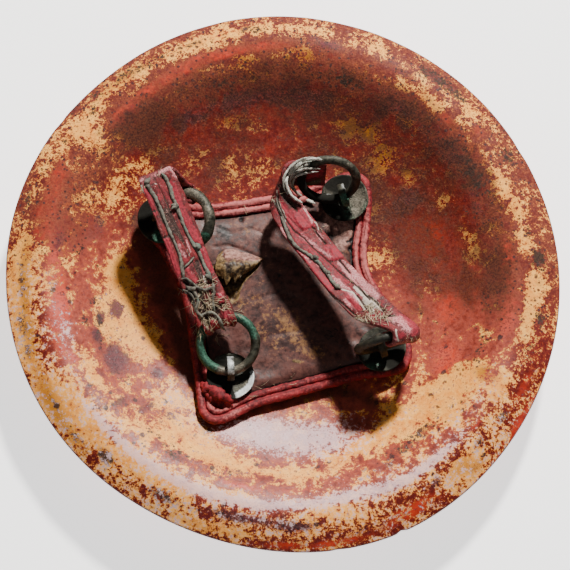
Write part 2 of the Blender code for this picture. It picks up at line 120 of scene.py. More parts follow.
# Outline of the rim: how far it wanders from a circle, by number of waves round it
WAVES = ((2, 2.47, -91.7), (3, 1.07, -179.4), (4, 0.59, 59.1), (5, 0.35, 31.6), (6, 0.25, -102.8))


def rim_at(theta):
    return RIM_RADIUS + sum(a * np.cos(k * theta - math.radians(f)) for k, a, f in WAVES)


def inner_z(x, y):
    x, y = np.asarray(x, float), np.asarray(y, float)
    r = np.hypot(x, y) * RIM_RADIUS / rim_at(np.arctan2(y, x))
    return np.interp(r, LINE_R, LINE_Z)


def inner_normal(x, y):
    e = 0.5
    gx = (inner_z(x + e, y) - inner_z(x - e, y)) / (2 * e)
    gy = (inner_z(x, y + e) - inner_z(x, y - e)) / (2 * e)
    return Vector((-float(gx), -float(gy), 1)).normalized()


def on_dish(px, py, above=0.0):
    """Point of the inner surface that shows at a point of the picture."""
    z = 25.0
    for _ in range(12):
        p = at_height(px, py, z)
        z = 0.5 * z + 0.5 * (float(inner_z(p.x, p.y)) + above)
    return at_height(px, py, z)


def project(points):
    """Where points (n, 3) in millimetres show in the picture."""
    d = np.asarray(points, float) - np.array(EYE)
    depth = -(d @ np.array(BACK))
    return np.stack([IMAGE / 2 + PIXELS * d[:, 0] / depth, IMAGE / 2 - PIXELS * (d @ np.array(UP)) / depth], 1)


def line_gap(p, line):
    """Distance in the picture from points (n, 2) to a broken line."""
    best = np.full(len(p), 1e9)
    for a, b in zip(line[:-1], line[1:]):
        a, b = np.array(a, float), np.array(b, float)
        t = np.clip(((p - a) @ (b - a)) / max((b - a) @ (b - a), 1e-9), 0, 1)
        best = np.minimum(best, np.linalg.norm(p - (a + t[:, None] * (b - a)), axis=1))
    return best


# ---------------------------------------------------------------- making pieces
def mesh_object(name, verts, faces, look=None, angle=None, replaces=(), floats=None):
    """Object on the root body from points in millimetres. floats maps attribute names to values per point."""
    mesh = bpy.data.meshes.new(name)
    mesh.from_pydata([tuple(float(c) * MM for c in v) for v in verts], [], [tuple(int(i) for i in f) for f in faces])
    mesh.validate(clean_customdata=False)
    mesh.update()
    obj = bpy.data.objects.new(name, mesh)
    bpy.context.scene.collection.objects.link(obj)
    if look:
        mesh.materials.append(look)
    if angle is None:
        mesh.shade_smooth()
    else:
        mesh.set_sharp_from_angle(angle=math.radians(angle))
    for key, values in (floats or {}).items():
        layer = mesh.attributes.new(key, "FLOAT", "POINT")
        layer.data.foreach_set("value", np.asarray(values, np.float32))
    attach(obj, "root")
    if replaces:
        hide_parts(*replaces)
    return obj


def outward(obj):
    """Turns the faces of a closed piece to face out."""
    bm = bmesh.new()
    bm.from_mesh(obj.data)
    bmesh.ops.recalc_face_normals(bm, faces=bm.faces)
    bm.to_mesh(obj.data)
    bm.free()
    return obj


def grid_faces(rows, cols, wrap_rows=False, wrap_cols=True):
    faces = []
    for i in range(rows if wrap_rows else rows - 1):
        a, b = i * cols, ((i + 1) % rows) * cols
        for j in range(cols if wrap_cols else cols - 1):
            k = (j + 1) % cols
            faces.append((a + j, a + k, b + k, b + j))
    return faces


def closed_loft(rings, start=None, end=None):
    """Points and faces of a closed form through rings (rows, n, 3), with a point or a flat face at each end."""
    rings = np.asarray(rings, float)
    rows, n = rings.shape[:2]
    verts = [tuple(p) for ring in rings for p in ring]
    faces = grid_faces(rows, n)
    for point, base, turn in ((start, 0, True), (end, (rows - 1) * n, False)):
        if point is None:
            face = tuple(range(base, base + n))
            faces.append(face[::-1] if turn else face)
        else:
            verts.append(tuple(point))
            tip = len(verts) - 1
            for j in range(n):
                a, b = base + j, base + (j + 1) % n
                faces.append((tip, b, a) if turn else (tip, a, b))
    return verts, faces


# ---------------------------------------------------------------- node materials
class Look:
    """A Principled material built from noise and the piece's own attributes."""

    def __init__(self, name, **values):
        self.mat = bpy.data.materials.new(name)
        self.mat.use_nodes = True
        self.tree = self.mat.node_tree
        self.tree.nodes.clear()
        out = self.tree.nodes.new("ShaderNodeOutputMaterial")
        self.shader = self.tree.nodes.new("ShaderNodeBsdfPrincipled")
        self.tree.links.new(self.shader.outputs[0], out.inputs[0])
        for key, value in values.items():
            self.shader.inputs[key.replace("_", " ")].default_value = value
        self.place = self.tree.nodes.new("ShaderNodeTexCoord").outputs["Object"]
        self.bumped = None

    def put(self, socket, value):
        if isinstance(value, bpy.types.NodeSocket):
            self.tree.links.new(value, socket)
        elif isinstance(value, (tuple, list)) and len(value) == 3 and socket.type == "RGBA":
            socket.default_value = (*value, 1)
        else:
            socket.default_value = value

    def node(self, kind, inputs=(), **fields):
        made = self.tree.nodes.new(kind)
        for key, value in fields.items():
            setattr(made, key, value)
        for key, value in dict(inputs).items():
            self.put(made.inputs[key], value)
        return made

    def attr(self, name):
        return self.node("ShaderNodeAttribute", attribute_name=name).outputs["Fac"]

    def stretched(self, scale, turn=0.0):
        return self.node("ShaderNodeMapping", {"Vector": self.place, "Scale": scale, "Rotation": (0, 0, turn)}).outputs[0]

    def shifted(self, offset):
        return self.node("ShaderNodeMapping", {"Vector": self.place, "Location": offset}).outputs[0]

    def noise(self, size, detail=4, rough=0.5, distort=0.0, place=None, offset=None):
        """Noise with features of about this many millimetres."""
        if offset is not None:
            place = self.shifted((offset, offset * 0.7, offset * 1.3))
        return self.node(
            "ShaderNodeTexNoise",
            {"Vector": place or self.place, "Scale": 1000.0 / size, "Detail": detail, "Roughness": rough, "Distortion": distort},
        ).outputs["Fac"]

    def cells(self, size, feature="F1", place=None, random=1.0):
        made = self.node("ShaderNodeTexVoronoi", {"Vector": place or self.place, "Scale": 1000.0 / size, "Randomness": random}, feature=feature)
        return made.outputs["Distance"]

    def calc(self, op, a, b=0.0, c=0.0):
        made = self.node("ShaderNodeMath", {0: a, 1: b}, operation=op)
        if op in ("MULTIPLY_ADD",):
            self.put(made.inputs[2], c)
        return made.outputs[0]

    def add(self, *terms):
        total = terms[0]
        for t in terms[1:]:
            total = self.calc("ADD", total, t)
        return total

    def times(self, a, b):
        return self.calc("MULTIPLY", a, b)

    def band(self, value, low, high, bottom=0.0, top=1.0):
        """Smooth step of a value from low to high."""
        made = self.node("ShaderNodeMapRange", {"Value": value, "From Min": low, "From Max": high, "To Min": bottom, "To Max": top}, interpolation_type="SMOOTHSTEP")
        return made.outputs["Result"]

    def mix(self, share, a, b, blend="MIX"):
        made = self.node("ShaderNodeMix", data_type="RGBA", blend_type=blend)
        self.put(made.inputs[0], share)
        self.put(made.inputs[6], a)
        self.put(made.inputs[7], b)
        return made.outputs[2]

    def ramp(self, value, stops):
        made = self.node("ShaderNodeValToRGB", {"Fac": value})
        points = made.color_ramp.elements
        while len(points) < len(stops):
            points.new(0.5)
        for point, (where, colour) in zip(points, stops):
            point.position = where
            point.color = (*colour, 1)
        return made.outputs["Color"]

    def bump(self, height, depth, strength=1.0):
        """Adds relief: height from 0 to 1 stands for this many millimetres."""
        inputs = {"Height": height, "Distance": depth * MM, "Strength": strength}
        if self.bumped:
            inputs["Normal"] = self.bumped
        self.bumped = self.node("ShaderNodeBump", inputs).outputs["Normal"]

    def done(self, colour, rough=None, metal=None):
        self.put(self.shader.inputs["Base Color"], colour)
        if rough is not None:
            self.put(self.shader.inputs["Roughness"], rough)
        if metal is not None:
            self.put(self.shader.inputs["Metallic"], metal)
        if self.bumped:
            self.tree.links.new(self.bumped, self.shader.inputs["Normal"])
        return self.mat


# ---------------------------------------------------------------- lacquer
def lacquer_look():
    look = Look("worn_lacquer", Coat_Weight=0.04, Coat_Roughness=0.38, Specular_IOR_Level=0.26)
    buff, dark, red, plum, ochre, gloss_and_painted_sheen, painted_shade, calm, matte = (look.attr(a) for a in ("buff", "dark", "red", "plum", "ochre", "gloss_and_painted_sheen", "painted_shade", "calm", "matte"))
    big = look.noise(30, 9, 0.60, 0.3)
    mid = look.noise(10, 10, 0.68, 0.35, offset=0.31)
    fine = look.noise(3.4, 8, 0.68, 0.2, offset=0.77)
    grit = look.noise(1.3, 4, 0.6, offset=1.3)
    cloud = look.noise(18, 10, 0.66, 0.5, offset=3.1)
    speck = look.noise(2.1, 5, 0.62, 0.1, offset=5.3)

    def blend(*pairs):
        """Weighted sum in which noises count from their middle."""
        return look.add(*[look.calc("MULTIPLY_ADD", s, g, -0.5 * g if s not in marks else 0.0) for s, g in pairs])

    marks = (buff, dark, red, plum, ochre, gloss_and_painted_sheen, painted_shade, calm, matte)
    # Lacquer film: crimson to orange red, brown violet where it is thick and dirty and, over the upper right of the
    # bowl, as painted shade
    film = look.mix(look.band(blend((mid, 1.0), (fine, 1.0), (grit, 0.5)), -0.22, 0.24), (0.095, 0.007, 0.006), (0.27, 0.024, 0.010))
    film = look.mix(look.band(blend((red, 0.7), (cloud, 1.2), (fine, 0.5)), 0.18, 0.75), film, (0.50, 0.032, 0.010))
    film = look.mix(look.band(blend((speck, 1.6), (grit, 1.0), (fine, 0.6)), 0.02, 0.30, 0.0, 0.6), film, (0.075, 0.007, 0.007))
    film = look.mix(look.band(blend((speck, 1.4), (fine, 1.0)), -0.45, -0.16, 0.5, 0.0), film, (0.50, 0.090, 0.030))
    violet = look.mix(look.band(blend((fine, 1.0), (grit, 0.8)), -0.2, 0.2), (0.028, 0.008, 0.009), (0.105, 0.024, 0.024))
    film = look.mix(look.band(blend((plum, 0.60), (cloud, 1.3), (mid, 0.8), (fine, 0.7)), 0.22, 0.50, 0.0, 0.92), film, violet)
    film = look.mix(look.times(calm, look.band(blend((mid, 1.2), (fine, 1.0)), -0.4, 0.3, 0.10, 0.62)), film, (0.54, 0.115, 0.070))
    film = look.mix(look.band(blend((matte, 0.36), (mid, 1.1), (fine, 0.9)), 0.10, 0.42, 0.0, 0.75), film, look.mix(look.band(grit, 0.35, 0.65), (0.105, 0.026, 0.017), (0.25, 0.075, 0.034)))
    # Bare hide in torn-edged islands with an orange fringe
    ragged = look.times(blend((fine, 2.2), (grit, 1.4)), look.calc("MULTIPLY_ADD", calm, -0.55, 1.0))
    island = look.add(blend((buff, 0.46), (painted_shade, -0.16), (big, 0.7), (mid, 1.8), (red, -0.14)), ragged)
    hide = look.mix(look.band(blend((mid, 1.0), (fine, 0.8)), -0.2, 0.25), (0.78, 0.265, 0.030), (1.0, 0.49, 0.105))
    hide = look.mix(look.band(blend((ochre, 0.8), (cloud, 0.6), (fine, 0.4)), 0.15, 0.8), hide, (0.46, 0.170, 0.008))
    hide = look.mix(look.band(grit, 0.50, 0.75, 0.0, 0.4), hide, (0.42, 0.11, 0.022))
    fringe = look.mix(look.band(island, 0.10, 0.24), film, (0.46, 0.085, 0.014))
    colour = look.mix(look.band(island, 0.20, 0.27), fringe, hide)
    # Specks of lacquer left on the hide
    colour = look.mix(look.band(blend((fine, 2.2), (grit, 1.4), (mid, 0.5), (red, 0.15), (plum, 0.24)), 0.28, 0.36, 0.0, 0.88), colour, (0.23, 0.026, 0.020))
    colour = look.mix(look.band(blend((speck, 2.4), (grit, 1.0), (plum, 0.14), (gloss_and_painted_sheen, 0.12)), 0.34, 0.42, 0.0, 0.8), colour, (0.16, 0.030, 0.032))
    # Dirty violet patches with soft edges, which over the upper right of the bowl are painted shade, and round spots
    # where drops have dried
    patch = look.mix(look.band(blend((fine, 1.0), (grit, 0.7)), -0.15, 0.2), (0.050, 0.014, 0.020), (0.150, 0.034, 0.040))
    colour = look.mix(look.band(blend((plum, 0.50), (calm, 0.06), (mid, 1.3), (fine, 0.8), (cloud, 0.7)), 0.42, 0.58, 0.0, 0.88), colour, patch)
    drop = look.mix(look.band(grit, 0.4, 0.65), (0.022, 0.010, 0.011), (0.085, 0.034, 0.034))
    wide = look.band(look.add(look.cells(8.5, place=look.shifted((1.7, 0.4, 2.2))), look.times(fine, 0.5)), 0.44, 0.51, 1.0, 0.0)
    small = look.band(look.add(look.cells(3.6), look.times(fine, 0.6)), 0.50, 0.60, 1.0, 0.0)
    colour = look.mix(look.times(wide, look.band(blend((dark, 0.40), (calm, 0.16), (cloud, 2.2), (big, 1.0)), 0.22, 0.34, 0.0, 0.90)), colour, drop)
    colour = look.mix(look.times(small, look.band(blend((dark, 0.40), (calm, 0.12), (matte, 0.42), (mid, 1.6), (cloud, 1.2)), 0.22, 0.40, 0.0, 0.90)), colour, drop)
    # Grime that browns the finish in scattered patches, strengthened into the painted shade of the upper bowl and the
    # painted shadows beside the left strap and under the pad
    colour = look.mix(look.band(blend((painted_shade, 1.0), (cloud, 1.9), (big, 0.9), (mid, 1.0), (fine, 0.6)), 0.22, 0.95, 0.0, 0.84), colour, look.mix(look.band(grit, 0.35, 0.65), (0.034, 0.010, 0.008), (0.095, 0.028, 0.012)))
    # Black-brown spots and stains, with painted shadow in the band under the upper brim edge
    black = look.mix(look.band(grit, 0.4, 0.65), (0.010, 0.007, 0.006), (0.055, 0.034, 0.026))
    colour = look.mix(look.band(blend((dark, 0.44), (fine, 1.9), (mid, 1.1), (grit, 1.2), (speck, 1.2)), 0.48, 0.56, 0.0, 0.94), colour, black)
    colour = look.mix(look.band(blend((dark, 0.5), (cloud, 1.0), (fine, 0.9), (speck, 0.6)), 0.32, 0.80, 0.0, 0.55), colour, (0.045, 0.024, 0.018))
    # Painted sheen: a pale pinkish-white highlight on the glossy lower floor and brim, broken up by noise and kept off
    # the matte and shaded parts
    colour = look.mix(look.band(blend((gloss_and_painted_sheen, 0.86), (matte, -0.55), (painted_shade, -0.7), (red, -0.10), (fine, 2.2), (mid, 1.2), (grit, 1.3), (speck, 1.4)), 0.54, 0.92, 0.0, 0.72), colour, (0.74, 0.50, 0.52))
    rough = look.band(blend((fine, 1.2), (speck, 1.0), (mid, 0.6), (gloss_and_painted_sheen, -0.12), (matte, 0.45)), -0.3, 0.6, 0.36, 0.95)
    look.bump(look.band(island, 0.14, 0.32, 1.0, 0.0), 0.10, 0.8)
    look.bump(look.noise(5.5, 6, 0.6, offset=2.1), 0.38, 0.55)
    look.bump(speck, 0.30, 0.6)
    look.bump(grit, 0.20, 0.6)
    return look.done(colour, rough)


# Where the finish changes, as seen in the picture: x, y, reach along the rim, reach towards the middle, weight
BUFF = (
    (240, 31, 42, 8, 1.0), (185, 48, 36, 8, 1.0), (130, 76, 32, 9, 1.0), (98, 103, 22, 9, 0.9), (82, 128, 13, 14, 1.5),
    (97, 141, 15, 9, 0.8), (40, 180, 22, 7, 0.8), (20, 255, 34, 8, 1.3), (20, 300, 34, 9, 1.2), (28, 350, 30, 8, 1.0),
    (118, 140, 12, 9, 0.5), (145, 163, 22, 11, 0.8), (168, 142, 16, 8, 0.1), (200, 158, 16, 7, 0.7), (231, 165, 9, 11, 0.8),
    (264, 166, 12, 9, 0.9), (240, 60, 16, 8, 0.8), (235, 120, 18, 9, 0.5), (116, 192, 18, 12, 0.9), (116, 277, 26, 14, 0.8),
    (300, 30, 34, 7, 0.8), (375, 50, 26, 6, 0.9), (300, 55, 15, 9, 0.8), (380, 165, 14, 17, 0.6), (374, 209, 7, 34, 0.9),
    (373, 262, 9, 26, 0.9), (350, 130, 30, 9, 0.4), (433, 103, 14, 7, 1.4), (400, 82, 18, 6, 0.7), (470, 108, 20, 8, 0.8),
    (503, 187, 20, 8, 1.4), (520, 212, 12, 10, 0.9), (527, 240, 14, 9, 1.1), (535, 287, 20, 11, 1.3), (470, 240, 22, 8, 0.8),
    (528, 317, 26, 6, 1.4), (438, 296, 9, 6, 0.8), (430, 280, 14, 6, 0.5), (500, 386, 14, 9, 1.2), (437, 400, 32, 18, 1.3),
    (395, 425, 24, 12, 0.9), (472, 372, 24, 12, 0.5), (465, 468, 20, 9, 0.9), (350, 455, 34, 10, 0.8), (120, 317, 28, 18, 1.4),
    (150, 347, 16, 16, 1.4), (172, 400, 18, 16, 0.9), (55, 402, 28, 12, 1.2), (88, 425, 30, 12, 1.0), (133, 462, 26, 11, 1.1),
    (92, 370, 24, 8, 0.6), (194, 437, 30, 14, 1.1), (215, 460, 34, 8, 1.0), (165, 480, 26, 9, 0.9), (230, 497, 24, 5, 1.0),
    (215, 528, 40, 6, 0.7), (290, 475, 40, 7, 0.6), (370, 440, 30, 8, 0.6), (330, 515, 20, 6, 0.5), (150, 432, 14, 10, 0.7),
    (60, 150, 18, 10, 0.5), (90, 205, 16, 14, 0.5), (350, 126, 10, 10, 1.0), (369, 132, 10, 7, 1.1), (406, 122, 16, 5, 0.8),
    (381, 162, 13, 13, 0.7), (408, 174, 9, 7, 0.8), (444, 203, 6, 9, 0.8), (455, 395, 24, 14, 0.6), (420, 385, 14, 10, 0.5),
)
# Dark spots and stains; the long band at 350, 82 is painted shadow under the upper brim edge
DARK = (
    (255, 30, 20, 6, 1.0), (195, 44, 24, 5, 1.1), (152, 62, 26, 7, 1.2), (122, 78, 18, 6, 1.0), (96, 96, 8, 7, 1.3),
    (93, 111, 7, 6, 1.5), (74, 112, 7, 5, 1.2), (66, 140, 7, 5, 0.9), (45, 165, 8, 4, 0.8), (28, 200, 13, 6, 1.1),
    (25, 228, 12, 5, 0.9), (22, 322, 18, 7, 1.4), (28, 352, 12, 6, 1.2), (22, 284, 14, 6, 1.0), (20, 262, 16, 5, 0.7),
    (80, 248, 16, 7, 0.9), (62, 342, 8, 6, 0.9), (92, 300, 6, 6, 1.3), (86, 320, 6, 6, 1.3), (99, 319, 8, 4, 1.2),
    (99, 336, 12, 8, 1.2), (56, 405, 6, 4, 1.4), (50, 396, 5, 4, 1.0), (92, 396, 8, 7, 1.0), (101, 409, 5, 5, 1.0),
    (74, 436, 18, 7, 1.2), (106, 457, 13, 7, 1.7), (163, 496, 20, 8, 1.4), (155, 433, 16, 4, 0.9), (173, 455, 11, 7, 1.3),
    (120, 372, 20, 10, 0.7), (240, 519, 36, 6, 0.8), (298, 527, 24, 6, 1.1), (200, 512, 14, 5, 0.7), (215, 470, 20, 5, 0.7),
    (350, 82, 46, 10, 0.9), (432, 74, 22, 9, 1.4), (460, 96, 20, 8, 1.1), (507, 157, 14, 8, 1.2), (529, 233, 8, 6, 1.4),
    (539, 259, 13, 8, 1.7), (480, 186, 26, 9, 1.0), (456, 146, 38, 12, 0.8), (470, 215, 16, 8, 0.6), (541, 319, 11, 7, 1.3),
    (530, 352, 16, 9, 0.9), (478, 352, 22, 9, 1.0), (428, 427, 22, 8, 1.0), (402, 449, 20, 8, 1.0), (503, 417, 9, 8, 1.2),
    (480, 443, 14, 8, 1.1), (520, 392, 9, 6, 0.9), (440, 470, 12, 7, 0.6), (205, 92, 26, 10, 0.7), (230, 80, 16, 7, 0.7),
    (180, 122, 14, 6, 0.5), (370, 468, 26, 8, 0.6), (487, 300, 14, 8, 0.6), (500, 340, 12, 6, 0.5), (412, 130, 34, 14, 0.5),
    (100, 225, 22, 16, 0.35), (465, 405, 10, 8, 0.8), (270, 128, 30, 14, 0.35),
)
RED = (
    (268, 46, 26, 6, 1.1), (222, 53, 30, 6, 1.3), (182, 69, 26, 7, 1.3), (150, 90, 22, 7, 1.3), (122, 114, 16, 8, 1.2),
    (60, 172, 24, 13, 0.9), (46, 214, 32, 11, 1.2), (52, 262, 34, 9, 0.9), (60, 302, 34, 12, 1.3), (58, 345, 26, 8, 0.8),
    (76, 362, 16, 7, 1.0), (78, 388, 10, 5, 0.9), (424, 240, 26, 26, 1.2), (446, 310, 28, 18, 0.8), (446, 360, 20, 15, 1.2),
    (507, 256, 30, 8, 1.2), (508, 318, 26, 9, 1.0), (524, 385, 30, 6, 0.8), (520, 422, 34, 6, 1.1), (492, 470, 30, 5, 1.0),
    (415, 508, 34, 8, 1.1), (340, 543, 46, 5, 1.1), (272, 545, 34, 4, 0.9), (240, 486, 26, 4, 1.2), (300, 490, 24, 4, 0.8),
    (130, 440, 20, 4, 0.9), (447, 120, 12, 6, 1.0), (478, 130, 10, 6, 0.7), (262, 110, 20, 12, 0.6), (270, 150, 14, 10, 0.7),
    (135, 122, 22, 10, 0.7), (466, 392, 7, 7, 1.0), (340, 60, 20, 6, 0.5), (180, 178, 30, 16, 0.3), (476, 425, 24, 5, 0.8),
)
# Violet-brown film; the large patches over the upper right of the bowl also paint its shade
PLUM = (
    (128, 118, 22, 9, 1.0), (190, 118, 34, 13, 0.9), (60, 236, 22, 9, 0.8), (95, 226, 24, 20, 0.8), (116, 360, 22, 16, 1.5),
    (158, 373, 8, 7, 1.7), (117, 310, 12, 7, 1.5), (100, 318, 6, 4, 1.6), (96, 334, 8, 5, 1.6), (121, 402, 6, 12, 1.2), (146, 408, 7, 14, 1.1), (104, 300, 26, 12, 0.5), (300, 96, 60, 14, 0.8), (325, 45, 30, 7, 1.0), (398, 108, 36, 14, 0.9),
    (405, 200, 16, 26, 0.9), (450, 150, 40, 16, 0.9), (478, 205, 22, 9, 0.9), (240, 518, 40, 6, 1.3), (298, 528, 26, 6, 1.3),
    (235, 472, 34, 5, 0.9), (285, 440, 50, 22, 0.6), (200, 405, 18, 16, 0.8), (166, 415, 10, 22, 0.8), (380, 470, 34, 7, 0.8),
    (360, 530, 30, 6, 0.8), (436, 482, 12, 6, 1.0), (440, 225, 18, 8, 0.3), (400, 72, 24, 7, 0.8), (350, 420, 20, 20, 0.4),
    (480, 120, 14, 6, 0.5), (80, 182, 20, 10, 0.7), (240, 100, 30, 12, 0.6), (330, 70, 30, 8, 0.6),
)
OCHRE = (
    (240, 60, 20, 10, 0.9), (235, 118, 24, 14, 0.9), (150, 118, 16, 8, 0.9), (300, 55, 20, 12, 0.9), (350, 110, 60, 40, 0.8),
    (400, 160, 40, 40, 0.8), (300, 90, 60, 14, 0.7), (374, 212, 10, 40, 0.5), (486, 374, 10, 14, 1.1), (462, 468, 22, 12, 0.7),
    (25, 290, 90, 8, 0.85), (120, 80, 60, 10, 0.6), (60, 420, 60, 10, 0.8), (480, 240, 22, 10, 0.5), (155, 160, 24, 16, 0.35),
    (515, 195, 26, 8, 0.4), (120, 275, 26, 40, 0.3),
)
# Glossier places, which also carry the painted sheen of the lower floor and shoulder
GLOSS_AND_PAINTED_SHEEN = (
    (250, 428, 46, 22, 0.8), (300, 438, 52, 20, 0.8), (340, 445, 34, 22, 0.55), (140, 458, 44, 5, 0.8), (205, 492, 44, 6, 0.9),
    (270, 505, 40, 5, 0.8), (345, 497, 34, 5, 0.95), (400, 482, 30, 5, 0.8), (440, 455, 28, 5, 0.6), (172, 392, 18, 18, 0.45),
    (205, 425, 24, 16, 0.5), (100, 420, 26, 6, 0.5), (400, 420, 40, 10, 0.25), (490, 142, 12, 8, 0.6), (66, 330, 20, 8, 0.4),
)


def patches(points, spots):
    """Sum of soft patches at points (n, 2) in millimetres, each longer along the rim than across it."""
    total = np.zeros(len(points))
    for px, py, along, across, weight in spots:
        p = on_dish(px, py)
        angle = math.atan2(p.y, p.x)
        scale = DISTANCE / PIXELS
        radial = np.array([math.cos(angle), math.sin(angle)])
        d = points - np.array([p.x, p.y])
        # Curved along the rim, so a long patch follows it
        r = np.hypot(points[:, 0], points[:, 1])
        if math.hypot(p.x, p.y) > 60:
            turn = np.arctan2(points[:, 1], points[:, 0]) - angle
            turn = (turn + np.pi) % (2 * np.pi) - np.pi
            u, v = turn * math.hypot(p.x, p.y), r - math.hypot(p.x, p.y)
        else:
            v, u = d @ radial, d @ np.array([-radial[1], radial[0]])
        total += weight * np.exp(-((u / (along * scale)) ** 2 + (v / (across * scale)) ** 2))
    return total


def shield_body():
    n = 300
    theta = np.linspace(0, 2 * np.pi, n, endpoint=False)
    rim = rim_at(theta)
    # A nick in the rim and a few bruises
    for px, py, wide, deep in ((401, 532, 0.012, 1.6), (338, 549, 0.02, 0.5), (60, 120, 0.02, 0.5), (520, 150, 0.03, 0.5)):
        p = at_height(px, py, 40)
        gap = (theta - math.atan2(p.y, p.x) + np.pi) % (2 * np.pi) - np.pi
        rim = rim - deep * np.exp(-((gap / wide) ** 2))
    s_in = np.concatenate([np.linspace(0.012, 0.6, 56, endpoint=False), np.linspace(0.6, 0.99, 82)])
    rings = []
    for s in s_in:
        rings.append([(np.cos(t) * s * R, np.sin(t) * s * R, np.interp(s * RIM_RADIUS, LINE_R, LINE_Z)) for t, R in zip(theta, rim)])
    inside = len(rings)
    # Rounded cut edge, then the front of the dome
    edge_z = float(np.interp(188.1, LINE_R, LINE_Z))
    for inset, drop in ((0.9, 0.25), (0.25, 0.9), (0.0, 1.7), (0.2, 2.6), (0.9, 3.2)):
        rings.append([(np.cos(t) * (R - inset), np.sin(t) * (R - inset), edge_z - drop) for t, R in zip(theta, rim)])
    edge_end = len(rings)
    for s in np.linspace(0.975, 0.02, 62):
        r = s * RIM_RADIUS
        slope = math.radians(np.interp(r, *zip(*SLOPES)))
        thick = LEATHER * min(1, 0.74 + (1 - s) * 4)
        back_r, back_z = r + thick * math.sin(slope), float(np.interp(r, LINE_R, LINE_Z)) - thick * math.cos(slope)
        rings.append([(np.cos(t) * back_r * R / RIM_RADIUS, np.sin(t) * back_r * R / RIM_RADIUS, back_z) for t, R in zip(theta, rim)])
    rings = np.array(rings)
    # Hand-worked unevenness, less under the pad and bosses so that they still sit on it
    flat = rings.reshape(-1, 3)
    r = np.hypot(flat[:, 0], flat[:, 1])
    loose = ease(r, 95, 150)
    same = flat.copy()
    same[:, 2] = 0
    lift = (fbm(same, 46, 3, 0.5, 3) * 1.2 + fbm(same, 14, 3, 0.5, 5) * 0.30) * loose
    lift += fbm(same, 6, 2, 0.5, 8) * 0.10 * ease(r, 60, 120)
    flat[:, 2] += lift
    flat[:, 2] = np.maximum(flat[:, 2], 2.4)
    rings = flat.reshape(rings.shape)
    verts, faces = closed_loft(rings, (0, 0, float(rings[0][:, 2].mean())), (0, 0, float(rings[-1][:, 2].mean())))
    pts = np.array(verts)[:, :2]
    back = np.zeros(len(verts))
    back[edge_end * n: rings.shape[0] * n] = 1
    back[-1] = 1
    floats = {}
    for key, spots in (("buff", BUFF), ("dark", DARK), ("red", RED), ("plum", PLUM), ("ochre", OCHRE), ("gloss_and_painted_sheen", GLOSS_AND_PAINTED_SHEEN)):
        value = patches(pts, spots)
        # The front has its own wear, in a plainer scatter
        seed = {"buff": 21, "dark": 22, "red": 23, "plum": 24, "ochre": 25, "gloss_and_painted_sheen": 26}[key]
        own = ease(fbm(np.array(verts) + 500, 60, 3, 0.55, seed), -0.1, 0.5) * {"buff": 0.9, "dark": 0.6, "red": 1.0, "plum": 0.9, "ochre": 0.5, "gloss_and_painted_sheen": 0.15}[key]
        floats[key] = np.where(back > 0, own, value)
    # Painted shade: the upper bowl, which faces away from the lamp, is browned, and so are a few spots on the right and
    # upper left; painted shadow darkens the strip beside the left strap's cast shadow and the band under the pad's
    # lower edge
    r, turn = np.hypot(pts[:, 0], pts[:, 1]), np.degrees(np.arctan2(pts[:, 1], pts[:, 0]))
    shaded_upper_bowl = ease(r, 60, 95) * (1 - ease(r, 150, 172)) * ease(turn, -38, 15) * (1 - ease(turn, 118, 160))
    seen = project(np.column_stack([pts, inner_z(pts[:, 0], pts[:, 1])]))
    under = np.exp(-((line_gap(seen, ((142, 225), (152, 262), (166, 300), (180, 335), (192, 372))) / 15) ** 2))
    under += 0.8 * np.exp(-((line_gap(seen, ((205, 424), (262, 404), (330, 388), (370, 400))) / 10) ** 2))
    floats["painted_shade"] = (0.62 * shaded_upper_bowl + 0.95 * under + 0.3 * np.exp(-((line_gap(seen, ((390, 235), (415, 250))) / 30) ** 2))) * (1 - back)
    for px, py, reach, weight in ((373, 197, 26, 0.45), (493, 285, 22, 0.45), (457, 285, 22, 0.25), (138, 130, 26, 0.75), (164, 163, 15, 0.40)):
        floats["painted_shade"] += weight * np.exp(-((np.hypot(seen[:, 0] - px, seen[:, 1] - py) / reach) ** 2)) * (1 - back)
    low = ease(-turn, 0, 40) * ease(turn + 180, -30, 10) + ease(turn, 165, 180)
    low = low * ease(r, 78, 100) * (1 - back)
    brim = low * ease(r, 140, 156)
    # More bare hide, gloss and painted sheen over the lower bowl and lower brim, and less red on the lower brim
    floats["buff"] = floats["buff"] + 0.24 * low + 0.20 * brim
    floats["gloss_and_painted_sheen"] = floats["gloss_and_painted_sheen"] + 0.20 * low + 0.34 * brim
    floats["red"] = floats["red"] - 0.15 * brim
    floats["calm"] = ease(-turn, -25, 20) * ease(turn + 180, -60, -10) * (1 - back) + ease(turn, 150, 175) * (1 - back)
    floats["calm"] = np.clip(floats["calm"], 0, 1) * (1 - ease(r, 158, 172))
    floats["matte"] = ease(r, 132, 146) * ease(turn, -25, 5) * (1 - ease(turn, 165, 185)) * (1 - back)
    lip = np.zeros(len(verts))
    lip[(inside + 1) * n: edge_end * n] = 1
    floats["dark"] = floats["dark"] + lip * 1.1
    floats["buff"] = floats["buff"] - lip * 1.2
    obj = mesh_object("buckler_body", verts, faces, lacquer_look(), replaces=("shield_body",), floats=floats)
    return outward(obj)


body = shield_body()


# ---------------------------------------------------------------- helpers for fittings and cords
def near(points, spots):
    """Sum of soft round patches given in the picture: x, y, radius, weight."""
    p = project(points)
    total = np.zeros(len(p))
    for px, py, r, w in spots:
        total += w * np.exp(-((p[:, 0] - px) ** 2 + (p[:, 1] - py) ** 2) / r**2)
    return total


def tree_of(*objects):
    verts, faces = [], []
    for o in objects:
        base = len(verts)
        verts += [o.matrix_world @ v.co * 1000 for v in o.data.vertices]
        faces += [tuple(base + i for i in f.vertices) for f in o.data.polygons]
    return BVHTree.FromPolygons(verts, faces)


